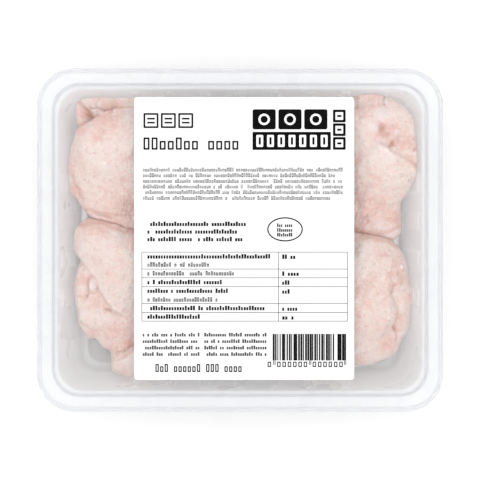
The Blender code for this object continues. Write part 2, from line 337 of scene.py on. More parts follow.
def roundBends(section, steps=5):
    rows = [section[0][:3]]
    for before, bend, after in zip(section, section[1:], section[2:]):
        here = np.array(bend[:3], float)
        back = np.array(before[:3]) - here
        ahead = np.array(after[:3]) - here
        start = here + back * min(0.45, bend[3] / np.hypot(back[0], back[1]))
        end = here + ahead * min(0.45, bend[3] / np.hypot(ahead[0], ahead[1]))
        for t in np.linspace(0, 1, steps):
            rows.append(tuple((1 - t) ** 2 * start + 2 * t * (1 - t) * here + t ** 2 * end))
    rows.append(section[-1][:3])
    return rows


def wallPlaces(ribs):
    # Places along a wall that let the ribs' flanks be pressed in cleanly
    half = ribs["width"] / 2
    flank = traySizes["ribFlank"]
    places = []
    for index in range(ribs["count"]):
        middle = (index - (ribs["count"] - 1) / 2) * ribs["pitch"]
        away = [half + 0.3]
        away += [half - flank * share for share in (0.1, 0.35, 0.65, 0.9)]
        away.append(half - flank - 0.6)
        places += [middle - a for a in away] + [middle] + [middle + a for a in reversed(away)]
        places.append(middle + ribs["pitch"] / 2)
    return places[:-1]


def ringPoints(inset, radius, wallSets):
    # Anticlockwise round the tray at one inset, as (x, y)
    points = []
    for side in range(4):
        longWall = side % 2 == 1
        out = (trayWidth if longWall else trayLength) / 2 - inset
        along = (trayLength if longWall else trayWidth) / 2 - inset
        local = [(out, place) for place in wallSets[longWall]]
        for step in range(traySizes["cornerSteps"] + 1):
            angle = math.pi / 2 * step / traySizes["cornerSteps"]
            local.append((out - radius + radius * math.cos(angle),
                          along - radius + radius * math.sin(angle)))
        turn = math.pi / 2 * side
        points += [(a * math.cos(turn) - b * math.sin(turn), a * math.sin(turn) + b * math.cos(turn))
                   for a, b in local]
    return points


def loftRings(shape, rings):
    # Joins rings of vertices with quads and closes the last with one face
    for outer, inner in zip(rings, rings[1:]):
        for index in range(len(outer)):
            following = (index + 1) % len(outer)
            shape.faces.new((outer[index], outer[following], inner[following], inner[index]))
    shape.faces.new(rings[-1])


def ribTree(finish):
    tree, given = newTree("pressedRibs", {
        "Depth": "Float", "Flank": "Float", "Foot": "Float", "Head": "Float", "Fade": "Float",
        "End Pitch": "Float", "End Count": "Float", "End Width": "Float",
        "Long Pitch": "Float", "Long Count": "Float", "Long Width": "Float", "Half Gap": "Float",
    })
    place = tree.nodes.new("GeometryNodeInputPosition").outputs[0]
    x, y, z = addNode(tree, "ShaderNodeSeparateXYZ", {0: place}).outputs[:3]

    def ribShare(along, kind):
        pitch, count, width = given[kind + " Pitch"], given[kind + " Count"], given[kind + " Width"]
        # An even count has no rib at the middle, so its pattern is moved by half a pitch
        shift = calc(tree, "MULTIPLY", calc(tree, "ADD", count, 1), 0.5)
        turns = calc(tree, "ADD", calc(tree, "DIVIDE", along, pitch), shift)
        phase = calc(tree, "FRACT", calc(tree, "ADD", turns, 20.5))
        away = calc(tree, "MULTIPLY", calc(tree, "ABSOLUTE", calc(tree, "SUBTRACT", phase, 0.5)), pitch)
        half = calc(tree, "MULTIPLY", width, 0.5)
        crown = calc(tree, "SUBTRACT", half, given["Flank"])
        raised = ramp(tree, away, crown, half, 1.0, 0.0)
        reach = calc(tree, "MULTIPLY", calc(tree, "MULTIPLY", pitch, count), 0.5)
        inside = calc(tree, "LESS_THAN", calc(tree, "ABSOLUTE", along), reach)
        return calc(tree, "MULTIPLY", raised, inside)

    sideways = calc(tree, "SUBTRACT", calc(tree, "ABSOLUTE", x), calc(tree, "ABSOLUTE", y))
    onEnd = calc(tree, "GREATER_THAN", sideways, given["Half Gap"])
    onLong = calc(tree, "SUBTRACT", 1.0, onEnd)
    rising = ramp(tree, z, given["Foot"], calc(tree, "ADD", given["Foot"], given["Fade"]))
    ending = ramp(tree, z, calc(tree, "SUBTRACT", given["Head"], given["Fade"]), given["Head"], 1.0, 0.0)
    full = calc(tree, "MULTIPLY", rising, ending)
    depth = calc(tree, "MULTIPLY", full, given["Depth"])
    pushes = []
    flanks = []
    for across, along, kind, mask in ((x, y, "End", onEnd), (y, x, "Long", onLong)):
        inward = calc(tree, "MULTIPLY", calc(tree, "SIGN", across), -1.0)
        raised = calc(tree, "MULTIPLY", ribShare(along, kind), mask)
        pushes.append(calc(tree, "MULTIPLY", inward, calc(tree, "MULTIPLY", raised, depth)))
        flanks.append(calc(tree, "MULTIPLY", raised, calc(tree, "SUBTRACT", 1.0, raised)))
    # The flanks are kept as an attribute, for a painted highlight along the ribs' edges
    pale = calc(tree, "MULTIPLY", calc(tree, "ADD", *flanks), calc(tree, "MULTIPLY", full, 4.0))
    marked = addNode(tree, "GeometryNodeStoreNamedAttribute",
                     {0: given["Geometry"], "Name": "ribHighlight", "Value": pale},
                     data_type="FLOAT", domain="POINT")
    offset = addNode(tree, "ShaderNodeCombineXYZ", {0: pushes[0], 1: pushes[1]}).outputs[0]
    pressed = addNode(tree, "GeometryNodeSetPosition", {0: marked.outputs[0], "Offset": offset})
    closeTree(tree, pressed.outputs[0], finish)
    return tree


def buildTray():
    shape = bmesh.new()
    wallSets = {True: wallPlaces(longRibs), False: wallPlaces(endRibs)}
    rows = roundBends(traySection())
    pairs = list(zip(rows, rows[1:]))
    for before, after in pairs:
        if before[1] - after[1] > 10:
            # The tall wall gets more rows, so that the ribs can fade out on it
            rest = [tuple(np.array(before) + (np.array(after) - np.array(before)) * t)
                    for t in (0.03, 0.06, 0.1, 0.14, 0.2, 0.35, 0.5, 0.65, 0.8, 0.86, 0.9, 0.94, 0.97)]
            spot = rows.index(after)
            rows[spot:spot] = rest
    rings = []
    for inset, height, radius in rows:
        rings.append([shape.verts.new((x * mm, y * mm, height * mm))
                      for x, y in ringPoints(inset, radius, wallSets)])
    insets = [row[0] for row in rows for _ in rings[0]]
    for shrink in (0.8, 0.55, 0.3):
        last = rings[len(rows) - 1]
        rings.append([shape.verts.new((v.co.x * shrink, v.co.y * shrink, v.co.z)) for v in last])
        insets += [traySizes["panelInset"] + 5] * len(last)
    loftRings(shape, rings)
    mesh = bpy.data.meshes.new("tray_shell")
    shape.to_mesh(mesh)
    shape.free()
    storeValues(mesh, "inset", insets)
    smoothFaces(mesh)
    tray = placePiece("tray_shell", mesh)
    s = traySizes
    runTree(tray, ribTree(trayFinish()), {
        "Depth": s["ribDepth"] * mm, "Flank": s["ribFlank"] * mm, "Foot": s["ribFoot"] * mm,
        "Head": s["ribHead"] * mm, "Fade": s["ribFade"] * mm,
        "End Pitch": endRibs["pitch"] * mm, "End Count": float(endRibs["count"]),
        "End Width": endRibs["width"] * mm,
        "Long Pitch": longRibs["pitch"] * mm, "Long Count": float(longRibs["count"]),
        "Long Width": longRibs["width"] * mm, "Half Gap": (trayLength - trayWidth) / 2 * mm,
    })
    smoothFaces(tray.data)
    shell = tray.modifiers.new("sheet", "SOLIDIFY")
    shell.thickness = s["sheet"] * mm
    shell.offset = -1
    shell.use_even_offset = True
    keepPiece(tray, "tray_plastic", "tray")
    print("tray built")


# The film and the label

filmSizes = {"inset": 1.8, "thickness": 0.08, "lift": 0.03, "sag": 0.25, "rings": 14, "crowding": 1.6,
             "sealedShare": 0.1, "sagShare": 0.12, "ripple": 0.04}
labelSizes = {"length": 115.8, "width": 148.8, "corner": 1.6, "thickness": 0.12, "lift": 0.05,
              "centre": (2.2, 0.8)}


def buildFilm():
    f = filmSizes
    walls = {True: list(np.linspace(-70, 70, 29)), False: list(np.linspace(-55, 55, 23))}
    shape = bmesh.new()
    rings = []
    base = trayHeight + f["lift"]
    edge = ringPoints(f["inset"], traySizes["cornerRadius"] - f["inset"], walls)
    for step in range(f["rings"]):
        # Rings crowd towards the sealed rim, where the film is held to the flange
        inward = (step / f["rings"]) ** f["crowding"]
        sealed = min(1.0, max(0.0, (inward - f["sealedShare"]) / f["sagShare"]))
        ring = []
        for x, y in edge:
            ripple = f["ripple"] * math.sin(x * 0.55 + y * 0.2) * math.sin(y * 0.43 - x * 0.12)
            sag = f["sag"] * sealed * (0.6 + ripple * 6)
            ring.append(shape.verts.new((x * (1 - inward) * mm, y * (1 - inward) * mm, (base - sag) * mm)))
        rings.append(ring)
    loftRings(shape, rings)
    mesh = bpy.data.meshes.new("film_sheet")
    shape.to_mesh(mesh)
    shape.free()
    smoothFaces(mesh)
    film = placePiece("film_sheet", mesh)
    mesh.materials.append(filmFinish())
    sheet = film.modifiers.new("gauge", "SOLIDIFY")
    sheet.thickness = f["thickness"] * mm
    sheet.offset = 1
    keepPiece(film, "lidding_film", "film")
    print("film stretched")


def flatShape(name, outline, low, high, finish, holes=()):
    # A flat shape with straight sides, from outlines in label millimetres; holes are cut through
    curve = bpy.data.curves.new(name, "CURVE")
    curve.dimensions = "2D"
    curve.fill_mode = "BOTH"
    curve.extrude = (high - low) / 2 * mm
    for loop in (outline, *holes):
        spline = curve.splines.new("POLY")
        spline.points.add(len(loop) - 1)
        for point, (x, y) in zip(spline.points, loop):
            point.co = (x * mm, y * mm, 0, 1)
        spline.use_cyclic_u = True
    drawn = placePiece(name, curve)
    depsgraph = bpy.context.evaluated_depsgraph_get()
    mesh = bpy.data.meshes.new_from_object(drawn.evaluated_get(depsgraph))
    bpy.data.objects.remove(drawn, do_unlink=True)
    shape = bmesh.new()
    shape.from_mesh(mesh)
    bmesh.ops.remove_doubles(shape, verts=shape.verts[:], dist=1e-6)
    bmesh.ops.translate(shape, verts=shape.verts[:], vec=Vector((0, 0, (low + high) / 2 * mm)))
    bmesh.ops.recalc_face_normals(shape, faces=shape.faces[:])
    shape.to_mesh(mesh)
    shape.free()
    mesh.materials.clear()
    mesh.materials.append(finish)
    return placePiece(name, mesh)


def roundedBox(left, bottom, right, top, radius, steps=4):
    points = []
    for x, y, quarter in ((right - radius, bottom + radius, 3), (right - radius, top - radius, 0),
                          (left + radius, top - radius, 1), (left + radius, bottom + radius, 2)):
        for step in range(steps + 1):
            angle = math.pi / 2 * (quarter + step / steps)
            points.append((x + radius * math.cos(angle), y + radius * math.sin(angle)))
    return points


def ellipse(x, y, halfX, halfY, steps=48):
    return [(x + halfX * math.cos(2 * math.pi * i / steps), y + halfY * math.sin(2 * math.pi * i / steps))
            for i in range(steps)]


labelLeft = labelSizes["centre"][0] - labelSizes["length"] / 2
labelTop = labelSizes["centre"][1] + labelSizes["width"] / 2
labelBase = trayHeight + filmSizes["lift"] + filmSizes["thickness"] + labelSizes["lift"]
paperTop = labelBase + labelSizes["thickness"]
inkDepth = 0.015


def buildLabel():
    right = labelLeft + labelSizes["length"]
    bottom = labelTop - labelSizes["width"]
    outline = roundedBox(labelLeft, bottom, right, labelTop, labelSizes["corner"], 6)
    paper = flatShape("label_sheet", outline, labelBase, paperTop, paperFinish())
    keepPiece(paper, "label_paper", "label")
    print("label laid")


# The print: plain bars, frames and fields, placed in millimetres from the label's left and top edges

def printTree():
    # Lines of small plain signs with gaps between words, as blocked-in text, or the bars of a bar code
    tree, given = newTree("printedMarks", {
        "Run": "Float", "Line Pitch": "Float", "Lines": "Int", "Marks": "Int", "Mark Height": "Float",
        "Fill": "Float", "Thinnest": "Float", "Gaps": "Float", "Tall": "Float", "Line": "Float",
        "Solid": "Bool", "Ink Depth": "Float", "Seed": "Int", "Ink": "Material",
    })

    def drawn(kind, offset, inputs=None):
        seed = calc(tree, "ADD", given["Seed"], offset)
        return addNode(tree, "FunctionNodeRandomValue", {"Seed": seed, **(inputs or {})}, data_type=kind)

    slot = calc(tree, "DIVIDE", given["Run"], given["Marks"])
    step = addNode(tree, "ShaderNodeCombineXYZ", {0: slot}).outputs[0]
    columns = addNode(tree, "GeometryNodeMeshLine", {"Count": given["Marks"], "Offset": step})
    drop = calc(tree, "MULTIPLY", given["Line Pitch"], -1.0)
    down = addNode(tree, "ShaderNodeCombineXYZ", {1: drop}).outputs[0]
    lines = addNode(tree, "GeometryNodeMeshLine", {"Count": given["Lines"], "Offset": down})
    spread = addNode(tree, "GeometryNodeInstanceOnPoints", {"Points": lines.outputs[0],
                                                           "Instance": columns.outputs[0]})
    spots = addNode(tree, "GeometryNodeRealizeInstances", {0: spread.outputs[0]})
    isGap = drawn("BOOLEAN", 0, {"Probability": given["Gaps"]})
    kept = addNode(tree, "GeometryNodeDeleteGeometry", {0: spots.outputs[0], 1: isGap.outputs[3]})
    tall = drawn("BOOLEAN", 7, {"Probability": given["Tall"]})
    heightScale = calc(tree, "ADD", 1.0, calc(tree, "MULTIPLY", tall.outputs[3], markLook["tallRise"]))
    thin = drawn("FLOAT", 3, {2: given["Thinnest"], 3: 1.0})
    width = calc(tree, "MULTIPLY", slot, given["Fill"])
    height, line = given["Mark Height"], given["Line"]

    def bar(sizeX, sizeY, x, y):
        size = addNode(tree, "ShaderNodeCombineXYZ", {0: sizeX, 1: sizeY, 2: given["Ink Depth"]})
        cube = addNode(tree, "GeometryNodeMeshCube", {"Size": size.outputs[0]})
        middle = [calc(tree, "ADD", low, calc(tree, "MULTIPLY", side, 0.5))
                  for low, side in ((x, sizeX), (y, sizeY))]
        centre = addNode(tree, "ShaderNodeCombineXYZ", {0: middle[0], 1: middle[1]}).outputs[0]
        return addNode(tree, "GeometryNodeTransform", {0: cube.outputs[0], "Translation": centre})

    def gathered(kind, parts):
        node = tree.nodes.new(kind)
        for part in parts:
            tree.links.new(part.outputs[0], node.inputs[0])
        return node

    far = calc(tree, "SUBTRACT", width, line)
    across = calc(tree, "SUBTRACT", far, line)
    top = calc(tree, "SUBTRACT", height, line)
    left, right = bar(line, height, 0.0, 0.0), bar(line, height, far, 0.0)
    head, foot = bar(across, line, line, top), bar(across, line, line, 0.0)
    kinds = ((left, right, head, foot), (left, right, head), (left, right, foot), (left, right))
    signs = [gathered("GeometryNodeJoinGeometry", parts) for parts in kinds]
    mixed = gathered("GeometryNodeGeometryToInstance", signs)
    plain = gathered("GeometryNodeGeometryToInstance", [bar(width, height, 0.0, 0.0)])
    chosen = addNode(tree, "GeometryNodeSwitch", {"Switch": given["Solid"], "False": mixed.outputs[0],
                                                  "True": plain.outputs[0]}, input_type="GEOMETRY")
    pick = drawn("INT", 5, {4: 0, 5: len(signs) - 1})
    scale = addNode(tree, "ShaderNodeCombineXYZ", {0: thin.outputs[1], 1: heightScale, 2: 1.0})
    marks = addNode(tree, "GeometryNodeInstanceOnPoints", {
        "Points": kept.outputs[0], "Instance": chosen.outputs[0], "Pick Instance": True,
        "Instance Index": pick.outputs[2], "Scale": scale.outputs[0]})
    closeTree(tree, marks.outputs[0], given["Ink"])
    return tree


printRuns = [
    # name, left, top of the first line's marks, run, lines, line pitch, mark height, mark width, gaps, ink
    ("handling_1", 4.6, 37.7, 105.4, 1, 0, 1.5, 1.2, 0.11, "grey"),
    ("handling_2", 4.6, 40.7, 101.3, 1, 0, 1.5, 1.2, 0.11, "grey"),
    ("handling_3", 4.6, 43.7, 106.2, 1, 0, 1.5, 1.2, 0.11, "grey"),
    ("handling_4", 4.6, 46.6, 105.4, 2, 2.98, 1.5, 1.2, 0.11, "grey"),
    ("handling_5", 4.6, 52.6, 100.1, 1, 0, 1.5, 1.2, 0.11, "grey"),
    ("heating_1", 7.0, 66.2, 52.1, 1, 0, 1.7, 1.4, 0.1, "black"),
    ("heating_2", 7.0, 70.2, 47.4, 1, 0, 1.7, 1.4, 0.1, "black"),
    ("heating_3", 7.0, 74.2, 50.3, 1, 0, 1.7, 1.4, 0.1, "black"),
    ("oval_lines", 75.2, 67.0, 8.3, 3, 2.5, 1.4, 1.1, 0.1, "dark"),
    ("table_1", 7.0, 83.3, 66.4, 1, 0, 1.7, 1.4, 0.11, "black"),
    ("table_2", 7.0, 87.6, 32.7, 1, 0, 1.7, 1.4, 0.11, "dark"),
    ("table_3", 7.0, 92.2, 45.9, 1, 0, 1.7, 1.4, 0.11, "dark"),
    ("table_4", 7.0, 96.8, 39.5, 1, 0, 1.7, 1.4, 0.11, "black"),
    ("table_5", 7.0, 101.4, 42.7, 1, 0, 1.7, 1.4, 0.11, "black"),
    ("table_6", 7.0, 106.0, 37.2, 1, 0, 1.7, 1.4, 0.11, "dark"),
    ("table_7", 7.0, 110.5, 61.9, 1, 0, 1.7, 1.4, 0.11, "black"),
    ("table_8", 7.0, 115.0, 29.2, 1, 0, 1.7, 1.4, 0.11, "black"),
    ("amount_1", 77.9, 83.5, 7.2, 1, 0, 1.7, 1.45, 0.1, "black"),
    ("amount_2", 77.9, 92.4, 9.0, 1, 0, 1.7, 1.45, 0.1, "black"),
    ("amount_3", 77.9, 97.1, 4.2, 1, 0, 1.7, 1.45, 0.1, "black"),
    ("amount_4", 77.9, 101.8, 4.2, 1, 0, 1.7, 1.45, 0.1, "black"),
    ("amount_5", 77.9, 110.8, 8.2, 1, 0, 1.7, 1.45, 0.1, "black"),
    ("amount_6", 77.9, 115.4, 6.4, 1, 0, 1.7, 1.45, 0.1, "black"),
    ("address_left", 4.5, 124.6, 30.2, 4, 3.4, 1.4, 1.2, 0.15, "dark"),
    ("address_right", 36.9, 124.6, 33.0, 4, 3.4, 1.4, 1.2, 0.15, "dark"),
]
markLook = {"fill": 0.8, "thinnest": 0.85, "tall": 0.3, "tallRise": 0.42}
inkLines = {"grey": 0.34, "dark": 0.46, "black": 0.64}
barCode = {"left": 72.9, "top": 124.6, "run": 38.9, "height": 14.0, "marks": 32, "fill": 1.0,
           "thinnest": 0.42, "gaps": 0.05, "seed": 4, "longBars": (73.2, 92.0, 110.4), "longBar": 0.42,
           "longGap": 0.8, "drop": 2.4}
# Rows of small frames stand for large lettering:
# left, top, width, height, pitch, count, line, the places left out, the taller ones
headingRows = [(4.9, 23.0, 3.2, 4.7, 4.25, 12, 0.9, (7,), (0, 1, 4)),
               (11.2, 141.6, 1.8, 3.1, 2.42, 19, 0.62, (3, 10, 14), (0, 2, 9, 11, 12, 13)),
               (70.2, 139.2, 1.9, 2.9, 2.8, 1, 0.55, (), ()),
               (75.2, 139.2, 1.9, 2.9, 2.8, 6, 0.55, (), ()),
               (93.9, 139.2, 1.9, 2.9, 2.8, 6, 0.55, (), ())]
headingRise = 0.38
headingBlocks = {"left": 4.9, "top": 8.4, "size": 7.9, "pitch": 9.15, "count": 3, "line": 0.95,
                 "barInset": 1.9, "barTops": (2.5, 4.6), "bar": 0.9}
tableSizes = {"left": 4.05, "right": 112.2, "column": 75.9, "line": 0.3,
              "rows": [81.6, 90.5, 95.1, 99.8, 108.7, 113.4, 117.9]}
emblemSizes = {"left": 62.3, "right": 103.5, "top": 6.4, "blocks": 3, "blockPitch": 13.6, "block": 12.2,
               "blockHeight": 10.6, "ring": 3.0, "ringLine": 1.1, "bandTop": 18.3, "bandBottom": 27.8,
               "slots": 7, "slotLeft": 64.3, "slotPitch": 5.65, "slotWidth": 3.6, "slotInset": 1.6,
               "slotLine": 1.2}
squareSizes = {"left": 104.6, "top": 6.6, "size": 6.7, "pitch": 7.2, "count": 3, "line": 1.3,
               "dotInsetX": 2.2, "dotInsetY": 2.8}
ovalSizes = {"x": 79.4, "y": 69.6, "halfX": 9.4, "halfY": 6.4, "line": 0.7}


def onLabel(left, top, right, bottom, radius=0.3, steps=3):
    # A rounded box from places counted from the label's left and top edges
    return roundedBox(labelLeft + left, labelTop - bottom, labelLeft + right, labelTop - top, radius, steps)


def joinPieces(name, pieces):
    # One mesh from several finished pieces, each keeping its material
    joined = bmesh.new()
    finishes = []
    for piece in pieces:
        mesh = piece.data
        start = len(joined.faces)
        joined.from_mesh(mesh)
        joined.faces.ensure_lookup_table()
        finish = mesh.materials[mesh.polygons[0].material_index]
        if finish not in finishes:
            finishes.append(finish)
        for face in joined.faces[start:]:
            face.material_index = finishes.index(finish)
        bpy.data.objects.remove(piece, do_unlink=True)
    mesh = bpy.data.meshes.new(name)
    joined.to_mesh(mesh)
    joined.free()
    for finish in finishes:
        mesh.materials.append(finish)
    return placePiece(name, mesh)


def placeMesh(piece, x, y, z):
    for vertex in piece.data.vertices:
        vertex.co += Vector((x * mm, y * mm, z * mm))


def printMarks(tree, name, left, top, values):
    base = bpy.data.meshes.new(name)
    piece = runTree(placePiece(name, base), tree, values)
    placeMesh(piece, labelLeft + left, labelTop - top - values["Mark Height"] / mm, paperTop + inkDepth / 2)
    return piece


def buildPrint():
    inks = {"black": inkFinish("black_ink", (0.003, 0.003, 0.003)),
            "dark": inkFinish("dark_grey_ink", (0.02, 0.02, 0.02)),
            "grey": inkFinish("grey_ink", (0.05, 0.05, 0.052)),
            "white": inkFinish("white_ink", (0.9, 0.9, 0.9))}
    tree = printTree()
    marks = []
    for seed, (name, left, top, run, lines, pitch, height, width, gaps, ink) in enumerate(printRuns):
        marks.append(printMarks(tree, name, left, top, {
            "Run": run * mm, "Line Pitch": pitch * mm, "Lines": lines, "Marks": max(2, round(run / width)),
            "Mark Height": height * mm, "Fill": markLook["fill"], "Thinnest": markLook["thinnest"],
            "Gaps": gaps, "Tall": markLook["tall"],
            "Line": inkLines[ink] * mm, "Solid": False, "Ink Depth": inkDepth * mm, "Seed": 20 + seed,
            "Ink": inks[ink]}))
    c = barCode
    marks.append(printMarks(tree, "bar_code", c["left"], c["top"], {
        "Run": c["run"] * mm, "Line Pitch": 0.0, "Lines": 1, "Marks": c["marks"],
        "Mark Height": c["height"] * mm, "Fill": c["fill"], "Thinnest": c["thinnest"], "Gaps": c["gaps"],
        "Tall": 0.0, "Line": 0.0, "Solid": True, "Ink Depth": inkDepth * mm, "Seed": c["seed"],
        "Ink": inks["black"]}))
    small = joinPieces("print_marks", marks)

    low = paperTop
    high = paperTop + inkDepth
    fields = []

    def field(outline, ink="black", holes=(), layer=0):
        step = layer * inkDepth
        fields.append(flatShape("field", outline, low + step, high + step, inks[ink], holes))

    def border(left, top, right, bottom, radius, line, ink="black", layer=0):
        inner = onLabel(left + line, top + line, right - line, bottom - line, max(0.2, radius - line))
        field(onLabel(left, top, right, bottom, radius), ink, [inner], layer)

    for left, top, width, height, pitch, count, line, gaps, tall in headingRows:
        for index in range(count):
            if index not in gaps:
                start = left + index * pitch
                rise = height * headingRise if index in tall else 0
                border(start, top - rise, start + width, top + height, 0.4, line)
    b = headingBlocks
    for index in range(b["count"]):
        left, top, size = b["left"] + index * b["pitch"], b["top"], b["size"]
        border(left, top, left + size, top + size, 0.5, b["line"])
        for level in b["barTops"]:
            field(onLabel(left + b["barInset"], top + level, left + size - b["barInset"],
                          top + level + b["bar"], 0.2))
    for place in c["longBars"]:
        for left in (place, place + c["longGap"]):
            foot = c["top"] + c["height"]
            field(onLabel(left, foot + 0.05, left + c["longBar"], foot + c["drop"], 0.05, 1))
    t = tableSizes
    half = t["line"] / 2
    for row in t["rows"]:
        field(onLabel(t["left"], row - half, t["right"], row + half, 0.05, 1), "dark")
    for column in (t["left"], t["column"], t["right"]):
        field(onLabel(column - half, t["rows"][0], column + half, t["rows"][-1], 0.05, 1), "dark")
    o = ovalSizes
    x, y = labelLeft + o["x"], labelTop - o["y"]
    field(ellipse(x, y, o["halfX"], o["halfY"]), "black",
          [ellipse(x, y, o["halfX"] - o["line"], o["halfY"] - o["line"])])
    s = squareSizes
    for index in range(s["count"]):
        top = s["top"] + index * s["pitch"]
        right, bottom = s["left"] + s["size"], top + s["size"]
        border(s["left"], top, right, bottom, 0.5, s["line"])
        field(onLabel(s["left"] + s["dotInsetX"], top + s["dotInsetY"],
                      right - s["dotInsetX"], bottom - s["dotInsetY"], 0.3))
    e = emblemSizes
    for index in range(e["blocks"]):
        left = e["left"] + index * e["blockPitch"]
        field(onLabel(left, e["top"], left + e["block"], e["top"] + e["blockHeight"], 1.0))
        x, y = labelLeft + left + e["block"] / 2, labelTop - e["top"] - e["blockHeight"] / 2
        field(ellipse(x, y, e["ring"], e["ring"], 32), "white",
              [ellipse(x, y, e["ring"] - e["ringLine"], e["ring"] - e["ringLine"], 32)], layer=1)
    field(onLabel(e["left"], e["bandTop"], e["right"], e["bandBottom"], 0.4))
    for index in range(e["slots"]):
        left = e["slotLeft"] + index * e["slotPitch"]
        border(left, e["bandTop"] + e["slotInset"], left + e["slotWidth"],
               e["bandBottom"] - e["slotInset"], 0.5, e["slotLine"], "white", 1)
    large = joinPieces("print_fields", fields)
    for piece in (small, large):
        keepPiece(piece, "label_paper")
    print("label printed")


# The wings: lobes of flesh blended into each other inside an edge, with skin folds, creases and pores

